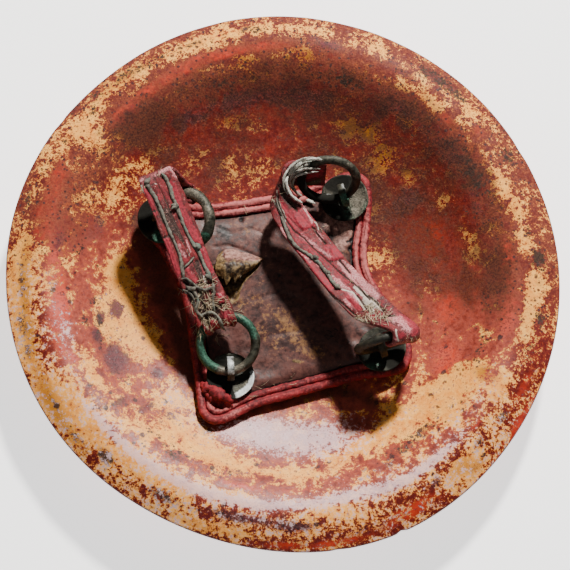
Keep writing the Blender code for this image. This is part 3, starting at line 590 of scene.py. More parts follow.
def smooth_line(points, step, closed=False):
    """Catmull-Rom line through points, about this far apart."""
    pts = [np.asarray(p, float) for p in points]
    n = len(pts)
    fine = []
    for k in range(n if closed else n - 1):
        p1, p2 = pts[k], pts[(k + 1) % n]
        p0 = pts[k - 1] if closed or k else p1 * 2 - p2
        p3 = pts[(k + 2) % n] if closed or k + 2 < n else p2 * 2 - p1
        count = max(2, int(np.linalg.norm(p2 - p1) / step) + 1)
        for t in np.linspace(0, 1, count, endpoint=False):
            fine.append(0.5 * (2 * p1 + (p2 - p0) * t + (2 * p0 - 5 * p1 + 4 * p2 - p3) * t**2 + (3 * p1 - p0 - 3 * p2 + p3) * t**3))
    if not closed:
        fine.append(pts[-1])
    return np.array(fine)


def laid(tree, line, lift, step=0.8, settle=5, most_drop=None):
    """A line drawn in the picture, laid on what shows there and lifted towards the camera. It ends where that drops away by more than most_drop."""
    flat = smooth_line([np.array(p, float) for p in line], step / (DISTANCE / PIXELS))
    depths = np.full(len(flat), np.nan)
    for k, (px, py) in enumerate(flat):
        d = ray(px, py)
        hit = tree.ray_cast(EYE, d, 3000)
        if hit[0] is not None:
            depths[k] = hit[3]
    good = ~np.isnan(depths)
    if not good.any():
        return None
    depths = np.interp(np.arange(len(flat)), np.where(good)[0], depths[good])
    if most_drop is not None:
        drops = np.where(np.abs(np.diff(depths)) > most_drop)[0]
        if len(drops):
            flat, depths = flat[:drops[0] + 1], depths[:drops[0] + 1]
        if len(flat) < 5:
            return None
    # Cords bridge small hollows, so the nearer surface wins
    wide = max(1, int(2.0 / step))
    padded = np.pad(depths, wide, mode="edge")
    depths = np.min([padded[i:i + len(depths)] for i in range(2 * wide + 1)], axis=0)
    for _ in range(settle):
        padded = np.pad(depths, 1, mode="edge")
        depths = (padded[:-2] + padded[1:-1] * 2 + padded[2:]) / 4
    return np.array([np.array(EYE + ray(px, py) * (d - lift)) for (px, py), d in zip(flat, depths)])


def tube_rings(path, radius, sides, closed=False, squash=None, up=None):
    """Rings round a path. radius is one number or one per point; squash scales the height across."""
    path = np.asarray(path, float)
    n = len(path)
    if closed:
        tangent = np.roll(path, -1, 0) - np.roll(path, 1, 0)
    else:
        tangent = np.gradient(path, axis=0)
    tangent /= np.maximum(np.linalg.norm(tangent, axis=1)[:, None], 1e-9)
    radius = np.broadcast_to(radius, (n,))
    normal = np.array(up, float) if up is not None else np.array([0.3, 0.2, 1.0])
    rings = []
    for k in range(n):
        if up is not None:
            normal = np.array(up, float)
        normal = normal - tangent[k] * (normal @ tangent[k])
        if np.linalg.norm(normal) < 1e-6:
            normal = np.cross(tangent[k], [1, 0, 0.1])
        normal = normal / np.linalg.norm(normal)
        side = np.cross(tangent[k], normal)
        a = np.linspace(0, 2 * np.pi, sides, endpoint=False)
        high = radius[k] * (squash if squash else 1.0)
        rings.append(path[k] + np.cos(a)[:, None] * side * radius[k] + np.sin(a)[:, None] * normal * high)
    return np.array(rings)


def cords(name, lines, look, rough=0.12, seed=1, sides=8, replaces=()):
    """One piece made of many cords, each (path, radius or radii). Ends are closed and tapered."""
    verts, faces, shade = [], [], []
    for k, (path, radius) in enumerate(lines):
        if path is None or len(path) < 4:
            continue
        n = len(path)
        radii = np.broadcast_to(radius, (n,)).astype(float).copy()
        taper = np.minimum(np.arange(n), np.arange(n)[::-1]) / 2.5
        radii *= np.clip(taper, 0.3, 1) ** 0.5
        rings = tube_rings(path, radii, sides)
        flat = rings.reshape(-1, 3)
        centre = np.repeat(np.asarray(path, float), sides, axis=0)
        out = flat - centre
        # Twisted strands in each cord
        turn = np.tile(np.linspace(0, 2 * np.pi, sides, endpoint=False), n)
        along = np.repeat(np.concatenate([[0], np.cumsum(np.linalg.norm(np.diff(path, axis=0), axis=1))]), sides)
        twist = 0.10 * np.cos(2 * turn + along * 2 * np.pi / 3.2)
        wobble = fbm(flat, 2.2, 2, 0.5, seed + k) * rough * 1.6
        flat = centre + out * (1 + twist + wobble)[:, None]
        v, f = closed_loft(flat.reshape(rings.shape), tuple(path[0]), tuple(path[-1]))
        base = len(verts)
        verts += v
        faces += [tuple(base + i for i in face) for face in f]
        shade += [((k * 0.37 + seed * 0.11) % 1.0)] * len(v)
    obj = mesh_object(name, verts, faces, look, floats={"strand": shade}, replaces=replaces)
    return outward(obj)


def revolved(profile, steps, origin, axis, hint=(1, 0, 0), relief=None):
    """Points (rows, steps, 3) of a turned form. relief(points) gives how far each moves along the axis."""
    axis = Vector(axis).normalized()
    x = Vector(hint) - axis * Vector(hint).dot(axis)
    if x.length < 1e-6:
        x = axis.orthogonal()
    x.normalize()
    y = axis.cross(x)
    a = np.linspace(0, 2 * np.pi, steps, endpoint=False)
    ring = np.cos(a)[:, None] * np.array(x) + np.sin(a)[:, None] * np.array(y)
    rows = np.array([np.array(origin) + ring * r + np.array(axis) * h for r, h in profile])
    if relief is not None:
        rows = rows + relief(rows.reshape(-1, 3)).reshape(rows.shape[:2])[..., None] * np.array(axis)
    return rows


FEET = {"lower_left": (-36.6, -68.4), "upper_right": (42.9, 60.2), "lower_right": (68.0, -49.5), "upper_left": (-86.0, 43.1)}
PLACES = tuple(FEET)
STEEP = math.radians(62)
STEEP_UP = Vector((0, math.cos(STEEP), math.sin(STEEP)))
LOW_PULL = Vector((0.10, -0.05, 0.99)).normalized()
LOW_ALONG = Vector((0.953, 0.29, -0.08)).normalized()
FACING_UP = {
    "lower_left": BACK,
    "upper_right": Vector((0, -math.sin(STEEP), math.cos(STEEP))),
    "lower_right": LOW_ALONG.cross(LOW_PULL),
    "upper_left": Vector((-0.5, -0.224, 0.837)),
}


def flat_frame(node, like):
    """Centre and thin direction of a round flat node, pointing the same way as a given direction."""
    points = np.array([v.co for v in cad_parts[node].data.vertices]) * 1000
    centre = points.mean(0)
    _, _, axes = np.linalg.svd(points - centre, full_matrices=False)
    axis = Vector(axes[2])
    if axis.dot(Vector(like)) < 0:
        axis = -axis
    return Vector(centre), axis.normalized()


RINGS = {p: flat_frame(f"ring_{p}", FACING_UP[p]) for p in PLACES}
SEATS = {p: flat_frame(f"washer_{p}", (0, 0, 1)) for p in PLACES}
RING_RADIUS, RING_TUBE = 19.0, 3.1
WASHER_MID = 12.27


# ---------------------------------------------------------------- metal
def bronze_look():
    look = Look("dark_bronze", Metallic=0.55)
    green, grey, worn, painted_shadow = (look.attr(a) for a in ("green", "grey", "worn", "painted_shadow"))
    big, mid, fine = look.noise(9, 8, 0.6), look.noise(3.2, 7, 0.62, offset=0.4), look.noise(1.2, 5, 0.6, offset=0.9)
    colour = look.mix(look.band(mid, 0.35, 0.65), (0.016, 0.017, 0.012), (0.060, 0.058, 0.040))
    colour = look.mix(look.band(look.add(look.times(green, 0.55), look.times(big, 0.5), look.times(mid, 0.5), look.times(fine, 0.3)), 0.86, 1.02), colour, look.mix(look.band(fine, 0.35, 0.65), (0.014, 0.050, 0.030), (0.055, 0.155, 0.105)))
    colour = look.mix(look.band(look.add(look.times(grey, 0.6), look.times(mid, 0.5), look.times(fine, 0.5)), 0.72, 0.98), colour, look.mix(look.band(fine, 0.3, 0.7), (0.075, 0.066, 0.048), (0.22, 0.195, 0.15)))
    # Bright rubbed metal; on the lit crescents of the washers, the staple eyes and the ring tops it also paints
    # highlight
    metal = look.band(look.add(worn, look.times(fine, 0.5), look.times(mid, 0.4)), 0.85, 1.15)
    colour = look.mix(metal, colour, look.mix(fine, (0.20, 0.21, 0.20), (0.66, 0.69, 0.68)))
    # Painted shadow: near black and rough where rings, straps and staples shade the metal
    colour = look.mix(look.band(look.add(painted_shadow, look.times(fine, 0.3)), 0.35, 0.95, 0.0, 0.95), colour, look.mix(fine, (0.006, 0.006, 0.005), (0.022, 0.021, 0.016)))
    rough = look.band(look.add(look.times(fine, 0.5), look.times(mid, 0.5)), 0.35, 0.65, 0.42, 0.72)
    rough = look.calc("MAXIMUM", rough, look.band(painted_shadow, 0.3, 0.8))
    look.bump(mid, 0.45, 0.7)
    look.bump(fine, 0.22, 0.8)
    return look.done(colour, rough)


def brass_look():
    look = Look("boss_brass", Metallic=0.8)
    big, mid, fine = look.noise(12, 6, 0.6), look.noise(4, 7, 0.62, offset=0.4), look.noise(1.2, 5, 0.6, offset=0.9)
    colour = look.mix(look.band(mid, 0.35, 0.65), (0.085, 0.055, 0.022), (0.30, 0.21, 0.085))
    colour = look.mix(look.band(look.add(big, fine), 1.0, 1.2), colour, (0.045, 0.09, 0.055))
    look.bump(mid, 0.35, 0.6)
    look.bump(fine, 0.12, 0.7)
    return look.done(colour, look.band(fine, 0.3, 0.7, 0.34, 0.6))


BRONZE = bronze_look()
BRASS = brass_look()

# Patches on each metal piece, in the picture: x, y, radius, weight; the near-black ones are painted shadow where rings,
# straps and staples shade the metal
METAL = {
    "washer_lower_left": {"green": ((222, 385, 16, 0.35),), "worn": ((252, 372, 4, 0.7), (253, 380, 5, 0.9), (250, 388, 5, 1.0), (244, 393, 5, 1.2), (237, 397, 5, 1.0)), "grey": ((248, 385, 8, 0.6),), "painted_shadow": ((212, 378, 13, 1.5), (212, 388, 10, 2.0), (221, 393, 9, 2.2), (206, 380, 8, 2.0), (229, 399, 6, 1.8), (228, 372, 12, 1.2), (208, 366, 10, 1.0))},
    "washer_upper_right": {"green": ((360, 205, 12, 0.6), (345, 216, 8, 0.5)), "grey": ((330, 187, 10, 1.0), (360, 195, 12, 0.8), (356, 210, 10, 0.6)), "worn": ((328, 196, 4, 0.7), (335, 198, 4, 0.8)), "painted_shadow": ((316, 214, 12, 1.3), (332, 212, 11, 1.0), (344, 222, 8, 0.6), (330, 184, 9, 1.0), (342, 188, 8, 0.9), (345, 178, 8, 0.7))},
    "washer_lower_right": {"green": ((375, 362, 14, 0.7), (392, 352, 8, 0.4)), "grey": ((398, 345, 5, 0.4),), "worn": ((403, 352, 2.2, 0.5),), "painted_shadow": ((385, 345, 16, 1.0), (370, 352, 12, 1.0), (395, 362, 12, 0.9), (360, 348, 8, 0.6))},
    "washer_upper_left": {"green": ((159, 237, 7, 1.3), (148, 226, 8, 0.3)), "grey": ((140, 205, 7, 0.4),), "worn": (), "painted_shadow": ((142, 220, 14, 0.9), (150, 205, 12, 0.9), (150, 228, 7, 0.5))},
    "ring_lower_left": {"green": ((200, 365, 22, 1.0), (244, 325, 20, 0.9), (205, 330, 12, 0.7)), "grey": ((238, 368, 9, 1.1), (250, 350, 8, 0.4), (222, 373, 8, 0.8)), "worn": ((250, 332, 4, 0.35),)},
    "ring_upper_right": {"green": ((355, 200, 12, 0.4), (352, 168, 9, 0.2)), "grey": ((345, 164, 16, 0.45), (358, 180, 8, 0.4)), "worn": ((333, 159, 5, 0.2),), "painted_shadow": ((312, 196, 14, 1.4), (330, 198, 12, 1.4), (302, 184, 10, 1.0), (345, 196, 6, 0.8))},
    "ring_lower_right": {"green": ((365, 360, 12, 0.4),), "grey": ((355, 352, 4, 0.4), (375, 334, 6, 0.4)), "worn": (), "painted_shadow": ((370, 350, 14, 0.5), (388, 340, 12, 0.6))},
    "ring_upper_left": {"green": ((205, 237, 5.5, 1.4), (190, 245, 10, 0.5)), "grey": ((188, 194, 12, 1.0), (203, 212, 12, 0.9)), "worn": ()},
}


def metal_floats(verts, key):
    given = METAL.get(key, {})
    return {name: near(verts, given.get(name, ())) for name in ("green", "grey", "worn", "painted_shadow")}


LEAN = {"lower_left": 20, "upper_right": 4, "lower_right": 4, "upper_left": 8}
metal_pieces = {}
for index, place in enumerate(PLACES):
    mid_point, axis = SEATS[place]
    base = mid_point - axis * WASHER_MID
    # Dished washer, hammered thin and a little out of true
    top = [(16.4 * t, 11.6 + 2.4 * t * t) for t in np.linspace(0.2, 0.93, 12)]
    lip = [(16.0, 13.86), (16.45, 13.7), (16.62, 13.25), (16.35, 12.85)]
    under = [(r - 0.1, z - 1.2) for r, z in top[::-1]]

    def dented(p, index=index):
        return fbm(p, 9, 3, 0.55, 31 + index) * 0.42 + fbm(p, 2.6, 2, 0.5, 41 + index) * 0.10

    rows = revolved(top + lip + under, 72, base, axis, relief=dented)
    hub = rows.reshape(-1, 3)
    spread = hub - (np.array(base) + ((hub - np.array(base)) @ np.array(axis))[:, None] * np.array(axis))
    hub = hub + spread * (fbm(spread * 1.0 + index * 50, 12, 2, 0.5, 7) * 0.035)[:, None]
    rows = hub.reshape(rows.shape)
    verts, faces = [tuple(p) for p in hub], grid_faces(len(rows), 72, wrap_rows=True)
    name = f"washer_{place}"
    metal_pieces[name] = outward(mesh_object("dished_" + name, verts, faces, BRONZE, replaces=(name,), floats=metal_floats(verts, name)))

    # Boss on the front, a dome with the small flat that it rests on
    low, high = 3.0, 22.0
    tilt = axis.angle(Vector((0, 0, 1)))
    rim = -4.65
    for _ in range(50):
        h = (low + high) / 2
        ball = (441 + h * h) / (2 * h)
        lowest = base.z + (rim + ball - h) * math.cos(tilt) - ball
        low, high = (h, high) if lowest > -0.25 else (low, h)
    line = [(r, rim + (ball - h) - math.sqrt(ball**2 - r * r)) for r in (21, 20, 18, 15, 12, 9, 6, 3, 0.8)]
    inner_line = [(r, rim + (ball - h) - math.sqrt((ball - 1.3) ** 2 - r * r)) for r in (0.8, 4, 8, 12, 16, 18.6)]
    rows = revolved([(19.5, rim + 0.1), (20.4, rim + 0.35), (21.2, rim + 0.3), (21.35, rim - 0.3)] + line[1:], 64, base, axis)
    inside_rows = revolved(inner_line, 64, base, axis)
    rows = np.concatenate([rows, inside_rows])
    flat = rows.reshape(-1, 3)
    flat += (fbm(flat, 7, 2, 0.5, 60 + index) * 0.12)[:, None] * np.array(axis)
    flat[:, 2] = np.maximum(flat[:, 2], 0.0)
    verts, faces = [tuple(p) for p in flat], grid_faces(len(rows), 64, wrap_rows=True)
    outward(mesh_object(f"domed_boss_{place}", verts, faces, BRASS, replaces=(f"front_boss_{place}",)))

    # Staple: strip bent into an eye, ends down through the hole
    centre, normal = RINGS[place]
    foot = mid_point + axis * (14.0 - WASHER_MID)
    pull = centre - foot
    pull = (pull - normal * pull.dot(normal)).normalized()
    tangent = normal.cross(pull).normalized()
    lean = math.radians(LEAN[place])
    across = (pull - axis * pull.dot(axis)).normalized()
    rise = (axis * math.cos(lean) + across * math.sin(lean)).normalized()
    eye_axis = (tangent - rise * tangent.dot(rise)).normalized()
    eye = foot + rise * 7.2
    side_way = eye_axis.cross(rise)
    steps = 56
    shape = [(-2.4, -0.75), (-2.0, -1.05), (2.0, -1.05), (2.4, -0.75), (2.4, 0.75), (2.0, 1.05), (-2.0, 1.05), (-2.4, 0.75)]
    rings = []
    for k in range(steps):
        a = 2 * math.pi * k / steps
        out = rise * math.cos(a) + side_way * math.sin(a)
        rings.append([eye + out * (7.35 + t) + eye_axis * w for w, t in shape])
    rings = np.array(rings)
    flat = rings.reshape(-1, 3)
    flat += (fbm(flat, 3.5, 2, 0.5, 70 + index) * 0.16)[:, None] * np.array(rise)
    verts, faces = [tuple(p) for p in flat], grid_faces(steps, len(shape), wrap_rows=True)
    a = 2.0
    cross = eye_axis.cross(axis).normalized()
    flatwise = axis.cross(cross).normalized()
    shank = []
    for h in (-9.0, -4, 2, 8, 12, 14.15):
        shank.append([base + axis * h + flatwise * (sx * a) + cross * (sy * a) for sx, sy in ((-1, -0.8), (-0.8, -1), (0.8, -1), (1, -0.8), (1, 0.8), (0.8, 1), (-0.8, 1), (-1, 0.8))])
    v, f = closed_loft(shank)
    verts, faces = verts + v, faces + [tuple(len(verts) + i for i in face) for face in f]
    # Bright rubbed metal on the lower left and upper right eyes, also painted highlight where they face the lamp
    floats = {
        "worn": near(verts, {"lower_left": ((230, 355, 5, 0.9), (230, 364, 5, 0.9), (231, 372, 5, 0.8)), "upper_right": ((341, 185, 3, 0.8), (346, 188, 3, 0.7))}.get(place, ())),
        "green": near(verts, {"upper_right": ((345, 200, 9, 0.9),)}.get(place, ())),
        "grey": near(verts, {"lower_right": ((377, 336, 6, 0.4),)}.get(place, ())),
    }
    name = f"staple_{place}"
    metal_pieces[name] = outward(mesh_object("eyed_" + name, verts, faces, BRONZE, angle=50, replaces=(name,), floats=floats))

    # Ring: hammered round bar, pitted; one is bound with thread
    first = pull
    second = normal.cross(first).normalized()
    n, sides = 132, 20
    rings = []
    for k in range(n):
        a = 2 * math.pi * k / n
        out = first * math.cos(a) + second * math.sin(a)
        here = centre + out * RING_RADIUS
        thick = RING_TUBE * (1 + 0.04 * math.sin(3 * a + index) + 0.03 * math.sin(7 * a + 2 * index))
        bound = 0.0
        if place == "upper_left":
            px, py = project([here])[0]
            bound = float(ease(px, 184, 190) * ease(240 - py, 0, 6))
        ring = []
        for j in range(sides):
            b = 2 * math.pi * j / sides
            r = thick * (1 + bound * (0.22 + 0.05 * math.sin(a * 19.0 * 2 * math.pi / 2.3 + b)))
            ring.append(here + (out * math.cos(b) + normal * math.sin(b)) * r)
        rings.append(ring)
    rings = np.array(rings)
    flat = rings.reshape(-1, 3)
    centres = np.repeat(rings.mean(1), sides, axis=0)
    bumps = fbm(flat, 5, 3, 0.55, 80 + index) * 0.09 + fbm(flat, 1.6, 2, 0.5, 90 + index) * 0.035
    flat = centres + (flat - centres) * (1 + bumps)[:, None]
    verts, faces = [tuple(p) for p in flat], grid_faces(n, sides, wrap_rows=True)
    name = f"ring_{place}"
    metal_pieces[name] = outward(mesh_object("hammered_" + name, verts, faces, BRONZE, replaces=(name,), floats=metal_floats(verts, name)))


# ---------------------------------------------------------------- pad and its binding
PAD_EDGE = (
    (-98, 49), (-93, 57.5), (-82, 59.5), (-58.5, 57), (-34, 60), (-9.6, 64), (15, 69.5),
    (36, 77.5), (47, 80), (57, 76.5), (61.2, 67.5), (61, 45), (58.2, 17.5), (66, -3),
    (80.5, -24), (87, -42), (88, -52), (83.5, -63), (72, -67), (51, -69), (25.6, -76),
    (1, -82.5), (-19.5, -89), (-31, -95.5), (-41, -100.5), (-50, -100.8), (-57.5, -93),
    (-59, -82), (-62, -61.5), (-65, -40.5), (-68.2, -19), (-75, 2), (-87, 24), (-97, 37),
)
PAD_CENTRE = np.array((-4.0, -6.0))
PAD_THICK, PAD_BULGE, GAP = 9.8, 4.2, 0.45


def evenly(ring, count):
    loop = np.vstack([ring, ring[:1]])
    length = np.concatenate([[0], np.cumsum(np.linalg.norm(np.diff(loop, axis=0), axis=1))])
    at = np.linspace(0, length[-1], count, endpoint=False)
    return np.column_stack([np.interp(at, length, loop[:, i]) for i in range(2)])


OUTLINE = evenly(smooth_line(PAD_EDGE, 0.6, closed=True), 420)


def inset(distance):
    """The pad's outline moved inwards."""
    square = min(distance, 8.0)
    ring = OUTLINE.copy()
    steps = max(1, int(square / 0.25))
    for _ in range(steps if square else 0):
        tangent = np.roll(ring, -1, 0) - np.roll(ring, 1, 0)
        tangent /= np.linalg.norm(tangent, axis=1)[:, None]
        ring += np.column_stack([tangent[:, 1], -tangent[:, 0]]) * square / steps
        ring += 0.12 * ((np.roll(ring, -1, 0) + np.roll(ring, 1, 0)) / 2 - ring)
    if distance > square:
        tangent = np.roll(ring, -1, 0) - np.roll(ring, 1, 0)
        tangent /= np.linalg.norm(tangent, axis=1)[:, None]
        inward = np.column_stack([tangent[:, 1], -tangent[:, 0]])
        middle = PAD_CENTRE - ring
        middle /= np.linalg.norm(middle, axis=1)[:, None]
        share = 1 / np.clip((inward * middle).sum(1), 0.72, 1)
        ring = ring + middle * (share * (distance - square))[:, None]
    return ring


def pad_top(x, y, full):
    full = np.ones_like(x) * full
    for fx, fy in FEET.values():
        t = np.clip((np.hypot(x - fx, y - fy) - 18) / 26, 0, 1)
        full = full * t * t * (3 - 2 * t)
    return inner_z(x, y) + PAD_THICK + PAD_BULGE * full


def raised(ring, height):
    return np.column_stack([ring, inner_z(ring[:, 0], ring[:, 1]) + height])


def pad_look():
    look = Look("pad_leather", Coat_Weight=0.05, Coat_Roughness=0.35, Specular_IOR_Level=0.30)
    scuff, pale, dark, raw, cloth = (look.attr(a) for a in ("scuff", "pale", "dark", "raw", "cloth"))
    big, mid, fine, grit = look.noise(22, 9, 0.64, 0.4), look.noise(8, 9, 0.66, offset=0.3), look.noise(2.6, 7, 0.66, offset=0.7), look.noise(1.1, 4, 0.6, offset=1.1)
    colour = look.mix(look.band(look.add(look.times(mid, 0.6), look.times(fine, 0.5)), 0.42, 0.68), (0.026, 0.0095, 0.0085), (0.120, 0.046, 0.036))
    colour = look.mix(look.band(look.add(look.times(big, 0.7), look.times(fine, 0.4)), 0.52, 0.66, 0.0, 0.6), colour, (0.110, 0.035, 0.028))
    ochre = look.mix(look.band(fine, 0.4, 0.6), (0.10, 0.045, 0.014), (0.26, 0.125, 0.040))
    colour = look.mix(look.band(look.add(look.times(scuff, 0.22), look.times(mid, 0.8), look.times(fine, 0.9), look.times(grit, 0.4)), 1.20, 1.36, 0.0, 0.80), colour, ochre)
    lilac = look.mix(look.band(fine, 0.38, 0.62), (0.150, 0.058, 0.046), (0.40, 0.215, 0.170))
    colour = look.mix(look.band(look.add(look.times(pale, 0.42), look.times(mid, 0.7), look.times(fine, 0.7)), 0.80, 1.30, 0.0, 0.92), colour, lilac)
    colour = look.mix(look.band(look.add(look.times(dark, 0.5), look.times(fine, 0.9), look.times(mid, 0.4)), 0.86, 0.98), colour, (0.012, 0.008, 0.008))
    inside = look.mix(look.band(fine, 0.35, 0.65), (0.060, 0.034, 0.013), (0.26, 0.165, 0.070))
    colour = look.mix(look.band(look.add(raw, look.times(fine, 0.5), look.times(mid, 0.3)), 0.72, 0.98), colour, inside)
    colour = look.mix(look.band(look.add(cloth, look.times(fine, 0.4)), 0.50, 0.80), colour, look.mix(look.band(fine, 0.35, 0.65), (0.085, 0.007, 0.009), (0.32, 0.024, 0.028)))
    look.bump(mid, 0.35, 0.7)
    look.bump(fine, 0.35, 0.6)
    look.bump(grit, 0.15, 0.5)
    return look.done(colour, look.band(fine, 0.35, 0.65, 0.42, 0.68))


def binding_look():
    look = Look("binding_red", Specular_IOR_Level=0.28)
    pink, dark = look.attr("pink"), look.attr("dark")
    mid, fine, grit = look.noise(6, 8, 0.64, offset=0.3), look.noise(2.0, 6, 0.66, offset=0.7), look.noise(0.9, 3, 0.6, offset=1.4)
    colour = look.mix(look.band(look.add(look.times(mid, 0.5), look.times(fine, 0.5)), 0.38, 0.62), (0.070, 0.006, 0.009), (0.29, 0.020, 0.025))
    colour = look.mix(look.band(look.add(look.times(pink, 0.45), look.times(fine, 0.9), look.times(grit, 0.3)), 0.78, 1.15, 0.0, 0.8), colour, (0.52, 0.150, 0.140))
    colour = look.mix(look.band(look.add(dark, look.times(fine, 0.4), look.times(mid, 0.3)), 0.55, 1.05, 0.0, 0.95), colour, (0.030, 0.007, 0.007))
    look.bump(fine, 0.35, 0.6)
    look.bump(grit, 0.28, 0.5)
    return look.done(colour, look.band(fine, 0.3, 0.7, 0.62, 0.85))


PAD = pad_look()
BINDING = binding_look()
WHERE_PAD_IS = {
    "scuff": ((256, 300, 12, 0.7), (282, 318, 14, 1.1), (290, 335, 10, 0.8), (262, 330, 10, 0.9), (275, 345, 9, 0.7), (300, 345, 14, 0.8), (318, 350, 10, 0.9), (240, 305, 7, 0.8), (262, 285, 7, 0.6), (238, 215, 6, 0.9), (247, 231, 5, 0.8), (228, 228, 5, 0.6), (345, 252, 6, 0.6), (351, 262, 6, 0.8)),
    "pale": ((240, 236, 13, 0.25), (225, 246, 9, 0.35), (258, 240, 12, 0.4), (268, 228, 9, 0.35), (258, 219, 12, 0.2), (275, 250, 9, 0.3), (338, 226, 11, 1.9), (346, 238, 8, 1.9), (332, 216, 8, 1.4), (352, 226, 6, 1.2), (340, 246, 5, 1.2)),
    "dark": ((222, 229, 9, 0.7), (228, 238, 6, 0.5), (290, 262, 9, 0.4), (330, 335, 14, 0.5), (300, 300, 12, 0.3), (246, 350, 9, 0.5), (277, 300, 7, 0.35)),
}
TEAR = ((214, 266), (224, 265), (240, 266), (252, 264), (262, 259.5), (256, 269), (248, 276), (242.5, 283), (240, 290), (238, 298), (233, 303), (226, 296), (219, 286), (214, 278))
HOLES = ((241.2, 219.6, 1.9, 2.2), (349.6, 248.6, 1.8, 2.0), (351.0, 240.5, 1.6, 1.2), (354.2, 238.5, 1.2, 1.0), (347.4, 241.6, 1.2, 0.9), (279.5, 275.5, 1.2, 0.8))


def inside_of(p, polygon):
    """Signed distance in the picture, above zero inside."""
    loop = list(polygon) + [polygon[0]]
    gap = line_gap(p, loop)
    inside = np.zeros(len(p), bool)
    for (x1, y1), (x2, y2) in zip(loop[:-1], loop[1:]):
        crosses = (y1 > p[:, 1]) != (y2 > p[:, 1])
        if y1 != y2:
            inside ^= crosses & (p[:, 0] < (x2 - x1) * (p[:, 1] - y1) / (y2 - y1) + x1)
    return np.where(inside, gap, -gap)


def cushion():
    """The stuffed pad: a slightly slack case blown up as cloth, held at its edge and under the washers."""
    start = 0.75
    edge = inset(12.4)
    rows = [raised(inset(1.3), GAP), raised(inset(1.3), 2.9), raised(inset(5.2), 3.0), raised(inset(7.0), 4.5), raised(inset(11.0), 4.6), raised(edge, 8.1 * start + 1.8)]
    for share in (0.96, 0.88, 0.75, 0.6, 0.45, 0.3, 0.15):
        ring = PAD_CENTRE + (edge - PAD_CENTRE) * share
        z = pad_top(ring[:, 0], ring[:, 1], min(1, (1 - share) * 2.6)) - 1.4 * min(1, (1 - share) * 2.6)
        rows.append(np.column_stack([ring, z]))
    below = []
    for share in (0.3, 0.66):
        ring = PAD_CENTRE + (edge - PAD_CENTRE) * share
        below.append(raised(ring, GAP))
    rows = below + [raised(inset(8.0), GAP)] + rows
    cx, cy = PAD_CENTRE
    verts, faces = closed_loft(np.array(rows), (cx, cy, float(inner_z(cx, cy)) + GAP), (cx, cy, float(pad_top(np.array(cx), np.array(cy), 1)) - 1.2))
    case = mesh_object("pad_case", verts, faces)
    outward(case)
    remesh = case.modifiers.new("even", "REMESH")
    remesh.mode = "VOXEL"
    remesh.voxel_size = 0.0042
    bpy.context.view_layer.update()
    mesh = bpy.data.meshes.new_from_object(case.evaluated_get(bpy.context.evaluated_depsgraph_get()))
    case.modifiers.clear()
    case.data = mesh
    points = np.array([v.co for v in mesh.vertices]) * 1000
    gap = line_gap(points[:, :2], [tuple(q) for q in OUTLINE] + [tuple(OUTLINE[0])])
    top = points[:, 2] - inner_z(points[:, 0], points[:, 1])
    held = np.where((gap < 9.5) | (top < 6.0), 1.0, 0.0)
    held = np.maximum(held, 0.9 * (1 - ease(gap, 9.5, 15)))
    for fx, fy in FEET.values():
        held = np.maximum(held, 1 - ease(np.hypot(points[:, 0] - fx, points[:, 1] - fy), 15.5, 22))
    group = case.vertex_groups.new(name="held")
    for k, w in enumerate(held):
        group.add([k], float(w), "REPLACE")
    cloth = case.modifiers.new("cloth", "CLOTH")
    settings = cloth.settings
    settings.quality = 6
    settings.mass = 0.3
    settings.tension_stiffness = settings.compression_stiffness = settings.shear_stiffness = 30
    settings.bending_stiffness = 1.2
    settings.use_pressure = True
    settings.uniform_pressure_force = 5.0
    settings.effector_weights.gravity = 0
    settings.vertex_group_mass = "held"
    cloth.point_cache.frame_start, cloth.point_cache.frame_end = 1, 20
    scene = bpy.context.scene
    for f in range(1, 21):
        scene.frame_set(f)
    mesh = bpy.data.meshes.new_from_object(case.evaluated_get(bpy.context.evaluated_depsgraph_get()))
    case.modifiers.clear()
    case.data = mesh
    scene.frame_set(1)
    # No point may swell by more than 6 mm
    swollen = np.array([v.co for v in mesh.vertices]) * 1000 - points
    reach = np.linalg.norm(swollen, axis=1)
    print("pad swells by", reach.max().round(2), "mm at most and", reach[held < 0.5].mean().round(2), "mm on average")
    swollen *= np.minimum(1, 6 / np.maximum(reach, 1e-6))[:, None]
    mesh.vertices.foreach_set("co", ((points + swollen) * MM).astype(np.float32).ravel())
    smooth = case.modifiers.new("smooth", "SUBSURF")
    smooth.levels = smooth.render_levels = 2
    mesh = bpy.data.meshes.new_from_object(case.evaluated_get(bpy.context.evaluated_depsgraph_get()))
    bpy.data.objects.remove(case, do_unlink=True)
    return mesh


